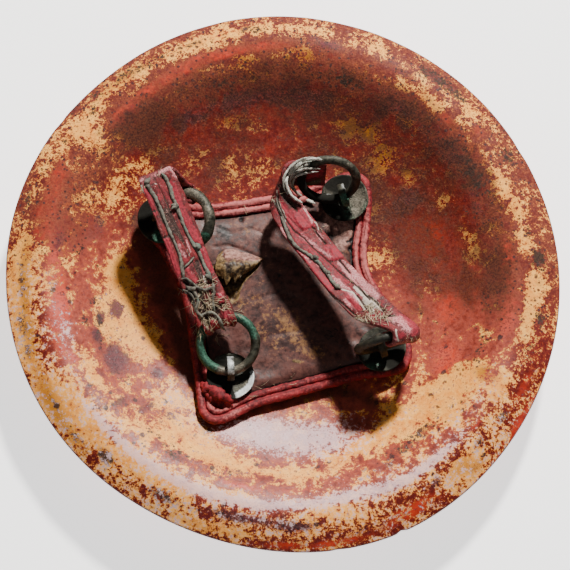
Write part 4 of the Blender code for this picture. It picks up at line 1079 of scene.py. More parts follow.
def knuckle_pad():
    mesh = cushion()
    points = np.array([v.co for v in mesh.vertices]) * 1000
    faces = [tuple(f.vertices) for f in mesh.polygons]
    upper = points[:, 2] - inner_z(points[:, 0], points[:, 1]) > 7.0
    p = project(points)
    # Creases, dents and the drag of the leather towards the washers
    relief = fbm(points, 30, 3, 0.5, 21) * 0.55 + fbm(points, 9, 3, 0.55, 22) * 0.28 + fbm(points, 2.6, 2, 0.5, 23) * 0.09
    for n, (fx, fy) in enumerate(FEET.values()):
        d = points[:, :2] - (fx, fy)
        r = np.hypot(d[:, 0], d[:, 1])
        fold = np.cos(np.arctan2(d[:, 1], d[:, 0]) * 11 + 3 * n + fbm(points, 24, 2, 0.5, 30 + n) * 2.5)
        relief += fold * 0.45 * ease(r, 16, 20) * (1 - ease(r, 24, 44))
    for line, w, depth in (
        (((214, 247), (228, 245), (243, 250), (262, 259), (272, 257), (284, 262)), 1.3, 0.55),
        (((214, 226), (232, 233), (252, 229), (270, 236)), 2.2, 0.40),
        (((246, 350), (270, 335), (300, 330), (330, 318)), 3.0, 0.45),
        (((252, 300), (280, 292), (306, 302)), 2.6, 0.35),
        (((332, 214), (344, 228), (349, 246), (352, 262)), 1.4, 0.35),
    ):
        relief -= depth * np.exp(-((line_gap(p, line) / w) ** 2))
    for px, py, r, depth in HOLES:
        relief -= depth * np.exp(-(((p[:, 0] - px) ** 2 + (p[:, 1] - py) ** 2) / r**2) ** 1.6)
    rim = inside_of(p + np.column_stack([fbm(points, 3, 2, 0.5, 91), fbm(points, 3, 2, 0.5, 92)]) * 1.6, TEAR)
    relief += 0.8 * np.exp(-((rim + 0.8) ** 2) / 1.6) - 4.4 * ease(rim, -0.5, 1.6) + ease(rim, 0, 4) * fbm(points, 3, 2, 0.6, 93) * 1.2
    points[:, 2] += relief * upper
    floats = {name: near(points, spots) for name, spots in WHERE_PAD_IS.items()}
    floats["raw"] = 0.75 * np.exp(-((rim + 0.3) / 1.4) ** 2) * upper + 0.45 * ease(rim, 0, 2) * upper
    floats["raw"] += 0.9 * np.exp(-((line_gap(p, ((293.5, 361), (299, 361.5)))) / 1.8) ** 2)
    # Painted shade in the holes, in the crevice along the pad's edge under the binding and in the hollow of the tear
    hole = np.zeros(len(p))
    for px, py, r, depth in HOLES:
        hole += 1.6 * np.exp(-((p[:, 0] - px) ** 2 + (p[:, 1] - py) ** 2) / (r * 1.1) ** 2)
    edge_gap = line_gap(points[:, :2], [tuple(q) for q in OUTLINE] + [tuple(OUTLINE[0])])
    floats["cloth"] = 1.2 * (1 - ease(edge_gap, 17, 20)) * np.exp(-(((p[:, 0] - 208) / 26) ** 4 + ((p[:, 1] - 402) / 16) ** 4))
    floats["dark"] = floats["dark"] + hole + 0.9 * (1 - ease(edge_gap, 10.5, 13.5)) + 0.7 * ease(rim, 1.0, 3.0) * upper

    # Torn flap, still joined at its upper edge and curled forward
    here = BVHTree.FromPolygons([Vector(q) for q in points], faces)
    control = (
        ((219.5, 254, 0.2), (225, 249.6, 0.3), (233, 249.6, 0.3), (245, 253, 0.2), (264, 259.3, 0.1)),
        ((217, 258, 3.5), (225.5, 254.5, 3.2), (235, 255, 3.4), (247, 257.5, 3.0), (262.5, 260, 1.8)),
        ((215.5, 263, 6.5), (226, 262.0, 9.0), (237, 262.5, 9.0), (249, 263.5, 7.0), (261, 261.5, 3.4)),
        ((215.5, 269, 7.2), (225.5, 268.5, 9.5), (237, 268.5, 9.3), (248, 267.0, 7.2), (258, 264, 3.6)),
        ((216.5, 275, 5.0), (225, 277, 7.0), (236, 276, 6.5), (244, 272, 5.2), (254, 267.5, 2.8)),
        ((218, 280, 2.4), (225, 286, 3.6), (233, 284, 3.6), (240, 278, 3.2), (250, 271, 2.0)),
    )
    grid = []
    for line in control:
        made = []
        for px, py, lift in line:
            d = ray(px, py)
            hit = here.ray_cast(EYE, d, 3000)
            depth = hit[3]
            made.append(np.array(EYE + d * (depth - lift * 1.0)))
        grid.append(made)
    # The tear's own hollow must not pull the flap down
    grid = np.array(grid)
    level = grid[0, :, 2].copy()
    for i, line in enumerate(control):
        for j, (px, py, lift) in enumerate(line):
            grid[i, j] = np.array(at_height(px, py, level[j] + lift))
    columns = np.stack([dense(grid[:, j], 44) for j in range(5)], 1)
    sheet = np.stack([dense(columns[i], 44) for i in range(len(columns))], 0)
    flat = sheet.reshape(-1, 3)
    flat += np.column_stack([fbm(flat, 6, 4, 0.6, 95), fbm(flat, 6, 4, 0.6, 96), fbm(flat, 5, 4, 0.6, 97)]) * np.array([1.1, 1.1, 1.5])
    sheet = flat.reshape(sheet.shape)
    # Ragged free edge
    rag = fbm(np.column_stack([np.arange(sheet.shape[1]) * 1.3, np.zeros(sheet.shape[1]), np.zeros(sheet.shape[1])]), 4, 3, 0.6, 98)
    for j in range(sheet.shape[1]):
        line = sheet[:, j].copy()
        reach = (len(line) - 1) * (0.86 + 0.20 * rag[j])
        at = np.linspace(0, reach, len(line))
        sheet[:, j] = np.column_stack([np.interp(at, np.arange(len(line)), line[:, c]) for c in range(3)])
    n = np.cross(np.gradient(sheet, axis=1), np.gradient(sheet, axis=0))
    n /= np.linalg.norm(n, axis=2)[..., None]
    if n[3, 20] @ np.array(BACK) < 0:
        n = -n
    rows, cols = sheet.shape[:2]
    above, below = sheet + n * 0.38, sheet - n * 0.38
    loops = np.concatenate([above, below[:, ::-1]], axis=1)
    verts, extra = closed_loft(loops)
    base = len(points)
    faces += [tuple(base + i for i in face) for face in extra]
    count = len(verts)
    v = np.array(verts)
    q = project(v)
    floats = {k: np.concatenate([f, np.zeros(count)]) for k, f in floats.items()}
    # Painted light on the flap's upturned part, which faces the lamp, and painted shade on the part that turns down;
    # raw leather shows on the downturned part, the left end and the ragged edge
    share = np.repeat(np.arange(rows) / (rows - 1), 2 * cols)
    share = np.concatenate([share, np.zeros(count - len(share))])[:count]
    lit = np.clip(1 - ease(share, 0.30, 0.48), 0, 1)
    floats["pale"][base:] = 2.6 * lit * ease(q[:, 0], 222, 229)
    ragged = ease(share, 0.88, 1.0) + 0.8 * ease(q[:, 0], 247, 262)
    floats["raw"][base:] = 0.42 * (1 - lit) + 0.55 * (1 - ease(q[:, 0], 221, 227)) + 0.6 * ragged
    floats["dark"][base:] = (0.85 * ease(share, 0.42, 0.62) - 0.5 * ragged) * ease(q[:, 0], 221, 227)
    return mesh_object("stuffed_pad", list(map(tuple, points)) + verts, faces, PAD, replaces=("knuckle_pad",), floats=floats)


def dense(line, count):
    """Smooth line through points, with exactly this many."""
    fine = smooth_line(line, 0.05)
    length = np.concatenate([[0], np.cumsum(np.linalg.norm(np.diff(fine, axis=0), axis=1))])
    at = np.linspace(0, length[-1], count)
    return np.column_stack([np.interp(at, length, fine[:, c]) for c in range(3)])


pad = knuckle_pad()


def binding_roll(name, distance, height, radius, seed, stitch):
    ring = inset(distance)
    path = raised(ring, height)
    path += np.column_stack([fbm(path, 14, 3, 0.5, seed), fbm(path, 14, 3, 0.5, seed + 1), fbm(path, 18, 3, 0.5, seed + 2)]) * np.array([0.28, 0.28, 0.35])
    loop = np.vstack([path, path[:1]])
    length = np.concatenate([[0], np.cumsum(np.linalg.norm(np.diff(loop, axis=0), axis=1))])
    count = 760
    at = np.linspace(0, length[-1], count, endpoint=False)
    path = np.column_stack([np.interp(at, length, loop[:, c]) for c in range(3)])
    sides = 18
    rings = tube_rings(path, radius * 1.14, sides, closed=True, up=(0, 0, 1), squash=0.84)
    flat = rings.reshape(-1, 3)
    centre = np.repeat(path, sides, axis=0)
    turn = np.tile(np.linspace(0, 2 * np.pi, sides, endpoint=False), count)
    along = np.repeat(at, sides)
    swell = fbm(flat, 9, 3, 0.6, seed + 3) * 0.20 + fbm(flat, 3.2, 2, 0.6, seed + 13) * 0.14 + fbm(flat, 1.3, 2, 0.6, seed + 4) * 0.10
    drawn = np.exp(-((((along + fbm(flat, 9, 2, 0.5, seed + 5) * 1.5) % stitch) - stitch / 2) / 0.55) ** 2)
    fold = np.exp(-((turn - 1.1 - 0.35 * fbm(centre, 20, 2, 0.5, seed + 6)) / 0.16) ** 2)
    flat = centre + (flat - centre) * (1 + swell - 0.035 * drawn * (fbm(centre, 25, 2, 0.5, seed + 8) > -0.1) - 0.12 * fold)[:, None]
    if name == "edge_roll_inner":
        gone = 1 - ease(np.hypot(flat[:, 0] - FEET["upper_left"][0], flat[:, 1] - FEET["upper_left"][1]), 3.2, 4.0)
        flat = np.where(gone[:, None] > 0.5, centre + (flat - centre) * 0.25 + np.array([0, 0, -2.5]), flat)
    p = project(flat)
    # Lighter pink on the tops of the rolls, partly wear and partly painted light; painted shade darkens their
    # undersides, the fold crease and a little the stitch dents
    height_share = ((flat - centre)[:, 2] / radius)
    top = ease(height_share, 0.2, 1.0)
    pink = top * (0.5 + near(flat, ((250, 210, 60, 0.7), (300, 205, 30, 0.5), (356, 240, 30, 0.6), (366, 280, 30, 0.4), (385, 312, 20, 0.4), (215, 397, 12, 0.8), (235, 408, 12, 0.5))))
    dark = 0.75 * ease(-height_share, 0.1, 0.8) + 0.55 * fold + 0.12 * drawn
    floats = {"pink": pink, "dark": dark}
    return outward(mesh_object("bound_" + name, list(map(tuple, flat)), grid_faces(count, sides, wrap_rows=True), BINDING, replaces=(name,), floats=floats))


rolls = [
    binding_roll("edge_roll_outer", 2.7, 6.2, 2.65, 101, 5.5),
    binding_roll("edge_roll_inner", 8.1, 7.6, 2.2, 111, 4.7),
]


# ---------------------------------------------------------------- straps
COLUMNS = (-1.0, -0.5, 0.0, 0.5, 1.0)
STEEPEST = math.radians(44)
RIGHT = Vector((1, 0, 0))
LOOP = 5.75
W = 12.0


def row(middle, wide, half):
    wide = Vector(wide).normalized()
    return [Vector(middle) + wide * (v * half) for v in COLUMNS]


def round_row(place, direction, away, above, half, share=1.0):
    """Cross row that follows a ring's curve."""
    middle, normal = RINGS[place]
    out = Vector(direction)
    out = (out - normal * out.dot(normal)).normalized()
    tangent = normal.cross(out).normalized()
    at = middle + out * RING_RADIUS
    reach = RING_RADIUS + away
    widest = min(STEEPEST, math.asin(min(half / reach, 1)))
    made = []
    for v in COLUMNS:
        curved = out * (reach * math.cos(v * widest) - RING_RADIUS) - tangent * (reach * math.sin(v * widest))
        flat = out * away - tangent * (v * half)
        made.append(at + flat.lerp(curved, share) + normal * above)
    return made


def curl(place, direction, start, end, steps, radius=LOOP, half=11.5):
    angles = [math.radians(start + (end - start) * k / steps) for k in range(steps + 1)]
    return [round_row(place, direction, radius * math.cos(a), radius * math.sin(a), half) for a in angles]


def between(first, last, share, middle):
    mixed = [a.lerp(b, share) for a, b in zip(first, last)]
    shift = Vector(middle) - mixed[2]
    return [p + shift for p in mixed]


def tipped(line, turn, drop):
    """Row with its right edge hanging lower, so that the band faces the upper right."""
    return [p + BACK * (v * turn - drop) for p, v in zip(line, COLUMNS)]


towards_strap = RIGHT * -0.37 + UP * 0.93
top_right_side = LOW_PULL * math.cos(math.radians(30)) + LOW_ALONG * math.sin(math.radians(30))

lower_loop = curl("lower_left", towards_strap, 295, 75, 8)
lap = round_row("lower_left", towards_strap, 13, -4.4, 11.5, 0.6)
span = [
    row((-60.6, -1.5, 57.0), (0.93, 0.36, 0.03), W),
    row((-70.6, 24.0, 64.5), (0.93, 0.36, 0.03), W),
    row((-78.1, 42.3, 69.6), (0.93, 0.34, 0.08), W),
    row((-84.8, 56.4, 73.0), (0.92, 0.36, 0.02), W),
    row((-87.2, 61.4, 72.4), (0.92, 0.38, 0.04), 11.5),
    row((-87.2, 63.8, 69.0), (0.92, 0.36, 0.12), 11.5),
    row((-84.2, 64.8, 61.5), (0.90, 0.30, 0.28), 11.5),
]
LEFT_TIPS = ((-4.5, 2.0), (-6.0, 3.0), (-6.0, 3.5), (-4.5, 3.0), (-3.0, 2.0), (-1.5, 1.0), (-0.5, 0.3))
span = [tipped(line, *tip) for line, tip in zip(span, LEFT_TIPS)]
upper_loop = curl("upper_left", towards_strap, 8, -215, 7)
LEFT_ROWS = (
    [lap] + lower_loop
    + [
        between(lower_loop[-1], span[0], 0.35, (-50.0, -21.5, 49.6)),
        between(lower_loop[-1], span[0], 0.7, (-53.8, -14.0, 52.4)),
    ]
    + span
    + [between(span[-1], upper_loop[0], 0.6, (-79.6, 63.8, 53.4))]
    + upper_loop
)
ring_left = RIGHT * -1 + STEEP_UP * 0.05
tongue = [round_row("upper_right", ring_left, d, -5.6, h, 0.0) for d, h in ((-17, 10.5), (-8, 11), (1, 11.5))]
turn_rows = [
    row((4.4, 71.4, 45.6), (0.12, 0.45, 0.88), 11.5),
    row((-0.6, 67.6, 47.6), (0.20, 0.48, 0.86), W),
    row((-3.6, 61.0, 49.3), (0.32, 0.49, 0.80), W),
    row((-3.2, 54.0, 50.4), (0.46, 0.50, 0.72), W),
    row((-0.8, 47.8, 51.2), (0.57, 0.55, 0.62), W),
    row((3.2, 41.0, 51.4), (0.63, 0.59, 0.50), W),
    row((9.0, 32.4, 51.8), (0.65, 0.62, 0.45), W),
    row((24.6, 11.8, 53.0), (0.62, 0.68, 0.40), W),
    row((34.8, -2.3, 55.0), (0.59, 0.73, 0.33), W),
    row((45.9, -16.1, 58.4), (0.57, 0.78, 0.24), W),
    row((56.1, -27.0, 63.4), (0.59, 0.79, 0.16), W),
]
RIGHT_TIPS = ((0, 0), (0, 0), (-1.5, 0.5), (-3.5, 1.2), (-5.5, 2.0), (-7.0, 3.0), (-8.0, 4.0), (-8.5, 4.5), (-8.0, 4.5), (-6.5, 4.0), (-4.0, 2.5))
turn_rows = [tipped(line, *tip) for line, tip in zip(turn_rows, RIGHT_TIPS)]
over_loop = curl("lower_right", top_right_side, -20, 222, 8)
rise_rows = [
    between(turn_rows[-1], over_loop[0], 0.4, (65.4, -34.2, 67.4)),
    between(turn_rows[-1], over_loop[0], 0.75, (73.6, -39.6, 69.8)),
]
RIGHT_ROWS = tongue + turn_rows + rise_rows + over_loop


def strap_look():
    look = Look("strap_leather", Specular_IOR_Level=0.28)
    red, pink, dark, pale, olive = (look.attr(a) for a in ("red", "pink", "dark", "pale", "olive"))
    mid, fine, grit = look.noise(5, 8, 0.66, 0.4, offset=0.3), look.noise(1.8, 6, 0.66, offset=0.7), look.noise(0.8, 3, 0.6, offset=1.4)
    drawn = look.noise(2.4, 6, 0.6, 0.2, offset=2.2)
    colour = look.mix(look.band(look.add(look.times(mid, 0.6), look.times(fine, 0.4)), 0.40, 0.60), (0.050, 0.008, 0.009), (0.19, 0.018, 0.021))
    colour = look.mix(look.band(look.add(look.times(red, 0.55), look.times(mid, 0.5), look.times(fine, 0.2)), 0.52, 0.80), colour, look.mix(look.band(fine, 0.3, 0.7), (0.15, 0.010, 0.018), (0.36, 0.028, 0.045)))
    colour = look.mix(look.band(look.add(look.times(pink, 0.50), look.times(fine, 0.9), look.times(drawn, 0.5)), 0.88, 1.20, 0.0, 0.85), colour, look.mix(look.band(grit, 0.35, 0.65), (0.38, 0.085, 0.098), (0.66, 0.33, 0.33)))
    colour = look.mix(look.band(look.add(look.times(pale, 0.55), look.times(fine, 0.9), look.times(grit, 0.3)), 0.90, 1.10, 0.0, 0.92), colour, look.mix(fine, (0.30, 0.25, 0.20), (0.62, 0.56, 0.48)))
    colour = look.mix(look.band(look.add(olive, look.times(fine, 0.5)), 0.65, 0.95, 0.0, 0.9), colour, (0.075, 0.062, 0.028))
    colour = look.mix(look.band(look.add(look.times(dark, 0.7), look.times(fine, 0.5), look.times(mid, 0.3)), 0.68, 0.84, 0.0, 0.95), colour, look.mix(look.band(grit, 0.4, 0.6), (0.014, 0.008, 0.007), (0.055, 0.030, 0.022)))
    worn = look.noise(1.5, 5, 0.66, 0.2, offset=4.1)
    colour = look.mix(look.band(look.add(look.times(worn, 1.0), look.times(mid, 0.35)), 0.74, 0.86, 0.0, 0.75), colour, (0.050, 0.014, 0.015))
    colour = look.mix(look.band(look.add(look.times(worn, -1.0), look.times(grit, 0.4), look.times(red, -0.06)), -0.22, -0.10, 0.0, 0.60), colour, (0.50, 0.24, 0.21))
    look.bump(mid, 0.35, 0.6)
    look.bump(fine, 0.45, 0.6)
    look.bump(worn, 0.30, 0.6)
    look.bump(grit, 0.25, 0.5)
    return look.done(colour, look.band(fine, 0.3, 0.7, 0.50, 0.78))


STRAP = strap_look()


def band(name, rows, thick, lines, lumps, marks, seed, replaces, step=0.8, columns=58, lobes=4):
    """Stitched leather band through cross rows. lines are slits and grooves given in the picture: (points, width, depth)."""
    grid = np.array([[list(q) for q in line] for line in rows], float)
    fine = []
    for k in range(len(grid) - 1):
        p1, p2 = grid[k], grid[k + 1]
        p0 = grid[k - 1] if k else p1 * 2 - p2
        p3 = grid[k + 2] if k + 2 < len(grid) else p2 * 2 - p1
        count = max(2, int(np.linalg.norm(p2 - p1, axis=1).max() / step) + 1)
        for t in np.linspace(0, 1, count, endpoint=False):
            fine.append(0.5 * (2 * p1 + (p2 - p0) * t + (2 * p0 - 5 * p1 + 4 * p2 - p3) * t**2 + (3 * p1 - p0 - 3 * p2 + p3) * t**3))
    fine.append(grid[-1])
    fine = np.array(fine)
    count = len(fine)
    length = np.concatenate([[0], np.cumsum(np.linalg.norm(np.diff(fine[:, 2], axis=0), axis=1))])
    v = np.sin(np.linspace(-1, 1, columns) * np.pi / 2 * 0.94) / math.sin(np.pi / 2 * 0.94)
    v = 0.5 * v + 0.5 * np.linspace(-1, 1, columns)
    zero = np.zeros(count)
    left = 1 + 0.045 * fbm(np.column_stack([length, zero, zero]), 11, 4, 0.6, seed) + 0.02
    right = 1 + 0.045 * fbm(np.column_stack([length, zero + 50, zero]), 11, 4, 0.6, seed + 1) + 0.02
    where = np.where(v[None, :] < 0, v[None, :] * left[:, None], v[None, :] * right[:, None])
    sheet = np.zeros((count, columns, 3))
    for i in range(count):
        for c in range(3):
            coefficients = np.polyfit(COLUMNS, fine[i, :, c], 3)
            sheet[i, :, c] = np.polyval(coefficients, where[i])
    along = np.gradient(sheet, axis=0)
    across = np.gradient(sheet, axis=1)
    n = np.cross(across, along)
    n /= np.maximum(np.linalg.norm(n, axis=2)[..., None], 1e-9)
    edge = np.sqrt(np.clip(1 - np.clip((np.abs(v) - 0.90) / 0.11, 0, 1) ** 2, 0.05, 1))
    made, facing_all = [], []
    for side in (1, -1):
        face = sheet + n * side * (thick / 2) * edge[None, :, None]
        flat = face.reshape(-1, 3)
        normals = (n * side).reshape(-1, 3)
        facing = ease(normals @ np.array(BACK), 0.0, 0.22)
        p = project(flat)
        vv = np.tile(v, count)
        uu = np.repeat(length, columns)
        # Strands side by side, the seams between them drawn in
        drift = fbm(np.column_stack([uu, vv * 3, np.zeros(len(uu))]), 16, 2, 0.5, seed + 5) * 0.05
        phase = np.abs((((vv + drift + 1) / 2 * lobes) % 1) - 0.5) * 2
        relief = -0.42 * ease(phase, 0.70, 1.0) + 0.14 * (1 - phase)
        relief = relief * (1 - 0.5 * facing)
        relief += fbm(flat, 6, 3, 0.6, seed + 6) * 0.30 + fbm(flat, 2.2, 2, 0.6, seed + 7) * 0.13 + fbm(flat, 1.0, 2, 0.5, seed + 8) * 0.05
        warp = np.column_stack([fbm(flat, 4, 3, 0.6, seed + 9), fbm(flat, 4, 3, 0.6, seed + 10)]) * 0.9
        for line, width, depth in lines:
            gap = line_gap(p + warp * (0.8 if width < 1.6 else 0.5), line)
            relief -= facing * depth * np.exp(-((gap / width) ** 2))
        for polygon, height in lumps:
            relief += facing * height * ease(inside_of(p + warp * 1.4, polygon), -0.5, 0.7)
        relief *= edge[None, :].repeat(count, 0).reshape(-1) ** 0.5
        flat = flat + normals * relief[:, None]
        made.append(flat.reshape(count, columns, 3))
        facing_all.append(facing.reshape(count, columns))
    rings = np.concatenate([made[0], made[1][:, ::-1]], axis=1)
    facing = np.concatenate([facing_all[0], facing_all[1][:, ::-1]], axis=1).reshape(-1)
    verts, faces = closed_loft(rings)
    points = np.array(verts)
    facing = np.concatenate([facing, np.zeros(len(points) - len(facing))])
    p = project(points)
    warp = np.column_stack([fbm(points, 3, 3, 0.6, seed + 11), fbm(points, 3, 3, 0.6, seed + 12)]) * 1.2
    floats = {}
    for key in ("red", "pink", "dark", "pale", "olive"):
        total = np.zeros(len(points))
        for entry in marks.get(key, ()):
            line, width, weight = entry
            if len(line) > 3 and width == 0:
                total += weight * ease(inside_of(p + warp, line), -0.6, 0.8)
            else:
                total += weight * np.exp(-((line_gap(p + warp * 0.7, line) / width) ** 2))
        floats[key] = total * facing + marks.get("away", {}).get(key, 0.0) * (1 - facing)
    deep = np.zeros(len(points))
    for line, width, depth in lines:
        deep += min(depth, 1.2) * 0.9 * np.exp(-((line_gap(p + warp * 0.5, line) / (width * 0.9)) ** 2))
    floats["dark"] = floats["dark"] + deep * facing
    return outward(mesh_object(name, verts, faces, STRAP, replaces=replaces, floats=floats))


# Lines and patches of the left band, in the picture
L_LACE_A = ((146, 181), (148, 187), (154, 196), (158, 204), (161, 211), (165, 221), (170, 233), (175, 244), (179.5, 255), (182, 268), (183.5, 278))
L_LACE_B = ((163, 175), (167, 181), (170.5, 190), (173, 199), (177, 207), (181, 219), (187, 233), (193, 244), (198.5, 252), (204, 265), (210, 277))
L_LACE_C = ((181, 279), (186, 278.5), (192, 283), (197, 287), (205, 290), (212, 287))
L_MID = ((153, 176), (159, 187), (165, 199), (171, 213), (177, 226), (184, 243), (191, 258), (197, 272))
L_CROSS = ((194, 257), (189, 263), (184, 268))
left_lines = (
    (L_LACE_A, 2.6, 1.1), (L_LACE_B, 2.5, 1.1), (L_MID, 0.9, 0.8), (L_CROSS, 1.6, 0.7),
    (((168, 215), (175, 228), (183, 243)), 0.8, 0.6), (((152, 205), (163, 232), (170, 250), (177, 272)), 0.8, 0.5),
    (((196, 244), (201, 247)), 1.6, 1.2), (((151, 212), (155, 211)), 1.2, 0.8), (((164, 238), (168, 236)), 1.1, 0.8),
    (((197, 262), (201, 276), (200, 290)), 2.6, 1.3), (((186, 284), (190, 296), (196, 312)), 2.4, 1.5),
    (((213, 283), (213, 300), (216, 318)), 2.2, 1.5), (((199, 292), (203, 306), (207, 324)), 3.0, 1.4),
    (((184, 281), (196, 286), (208, 284)), 1.8, 1.2), (((196, 318), (206, 314), (220, 306)), 1.8, 1.0),
    (((222, 304), (218, 312)), 1.4, 1.0),
)
left_lumps = (
    (((185, 293), (190, 291), (196, 310), (196, 318), (190, 312)), 0.9),
    (((216, 293), (224, 292), (226, 302), (219, 305)), 1.0),
    (((223, 311), (230, 309), (233, 320), (229, 327), (224, 324)), 1.2),
    (((209, 321), (219, 318), (222, 328), (212, 330)), 0.9),
    (((202, 248), (206, 247), (212, 268), (209, 274), (205, 266)), 0.5),
)
left_marks = {
    "red": (
        (((145, 189), (149, 200), (155, 213)), 3.4, 1.1), (((166, 241), (171, 256), (177, 272)), 3.6, 1.5), (((172, 272), (178, 286), (183, 297)), 3.0, 1.2),
        (((171, 185), (177, 198), (182, 211), (190, 226), (198, 241)), 3.8, 1.6), (((202, 249), (207, 259), (211, 270)), 3.2, 1.5),
        (((157, 190), (160, 200)), 2.2, 0.6), (((178, 246), (188, 262)), 3.4, 0.6), (((162, 185), (170, 202)), 1.8, 0.6), (((187, 268), (196, 281)), 3.2, 0.9),
        (((185, 293), (190, 291), (196, 310), (196, 318), (190, 312)), 0, 1.5), (((216, 293), (224, 292), (226, 302), (219, 305)), 0, 1.5),
        (((223, 311), (230, 309), (233, 320), (229, 327), (224, 324)), 0, 1.8), (((209, 321), (219, 318), (222, 328), (212, 330)), 0, 1.2), (((199, 328), (205, 333)), 3, 0.9),
        (((205, 280), (208, 290)), 3, 1.2),
    ),
    "pink": (
        (((137, 182), (143, 180)), 2.6, 0.8), (((150, 178), (161, 172)), 3.0, 0.5), (((163, 172), (170, 167), (176, 176)), 3.0, 1.0),
        (((178, 245), (185, 256)), 3.0, 0.8), (((186, 240), (191, 252)), 1.0, 1.2), (((204, 283), (208, 289)), 2.4, 1.2), (((200, 243), (206, 256)), 1.2, 0.6),
        (((152, 214), (162, 232)), 1.6, 0.5), (((219, 294), (223, 297)), 1.8, 0.8), (((226, 311), (229, 317)), 2.0, 0.6),
    ),
    "dark": (
        (((162, 200), (170, 217), (176, 231)), 3.0, 0.5), (((166, 213), (173, 227), (181, 239)), 3.4, 0.55), (((155, 205), (163, 222)), 2.2, 0.45),
        (((186, 262), (196, 276)), 2.0, 0.3), (((200, 300), (204, 318)), 4.5, 0.55), (((192, 290), (198, 300)), 3.5, 0.45), (((213, 305), (216, 316)), 3.0, 0.6),
    ),
    "pale": (
        (((141, 186), (144, 194)), 1.1, 1.6), (((147, 181), (152, 187)), 1.5, 0.5), (((187, 249), (190, 256)), 0.8, 1.2), (((202, 276), (206, 282)), 1.8, 1.6),
        (((199, 290), (203, 300), (206, 313)), 2.4, 1.1), (((197, 283), (193, 292)), 1.6, 0.9), (((209, 296), (212, 308)), 2.0, 0.8), (((204, 322), (208, 330)), 2.0, 0.8),
        (((154, 183), (161, 186)), 0.9, 0.8), (((183, 290), (186, 293)), 1.4, 1.6),
    ),
    "olive": ((((199, 320), (206, 329)), 3, 0.4), (((209, 334), (218, 335)), 3, 0.4)),
    "away": {"dark": 0.2, "red": 0.35},
}
left_strap = band("left_grip_band", LEFT_ROWS, 2.8, left_lines, left_lumps, left_marks, 201, ("grip_strap_left",))

R_LACE = ((281, 216), (286, 229), (290, 238), (296, 246), (304, 252), (311, 256.5), (315, 260), (320, 264), (324, 270), (327.5, 273.5), (331, 280), (336, 287))
R_CRACK_A = ((277, 196), (279, 206), (286, 220), (294, 231), (304, 238), (313, 248), (329, 262), (338, 271), (348, 279), (357, 286), (370, 300))
R_CRACK_B = ((336, 287), (345, 289), (353, 291), (359, 299), (364, 306), (370, 314))
right_lines = (
    (R_LACE, 2.0, 1.0), (R_CRACK_A, 1.0, 1.1), (R_CRACK_B, 0.9, 0.8),
    (((289, 201), (293, 206), (297, 211)), 1.3, 1.3), (((288, 216), (294, 223), (302, 231)), 0.9, 0.8),
    (((313, 228), (318, 235), (325.5, 243.5)), 1.3, 1.3), (((340, 261), (345, 267), (350, 273)), 1.3, 1.3),
    (((369, 296), (376, 302), (384, 311)), 1.3, 1.2), (((303, 231), (310, 228), (316, 224)), 0.9, 0.7),
    (((331, 262), (338, 261), (343, 259)), 0.9, 0.7), (((330, 250), (332, 262)), 0.8, 0.6), (((355, 280), (362, 290), (366, 296)), 0.8, 0.6),
    (((345, 297), (352, 304), (358, 312)), 0.8, 0.6), (((358, 296), (364, 304), (369, 311)), 0.8, 0.8), (((330, 294), (343, 304), (356, 316)), 1.2, 1.1),
    (((382, 318), (388, 316), (394, 315.5)), 1.5, 1.4), (((300, 184), (308, 182), (319, 179)), 1.2, 0.5), (((279, 186), (283, 196), (288, 203)), 0.9, 0.5),
)
right_lumps = (
    (((293, 212), (306, 208), (318, 223), (314, 227), (303, 230), (296, 222)), 0.55),
    (((323, 246), (337, 244), (344, 257), (332, 261)), 0.55),
    (((346, 296), (356, 300), (364, 312), (358, 314), (348, 305)), 0.35),
)
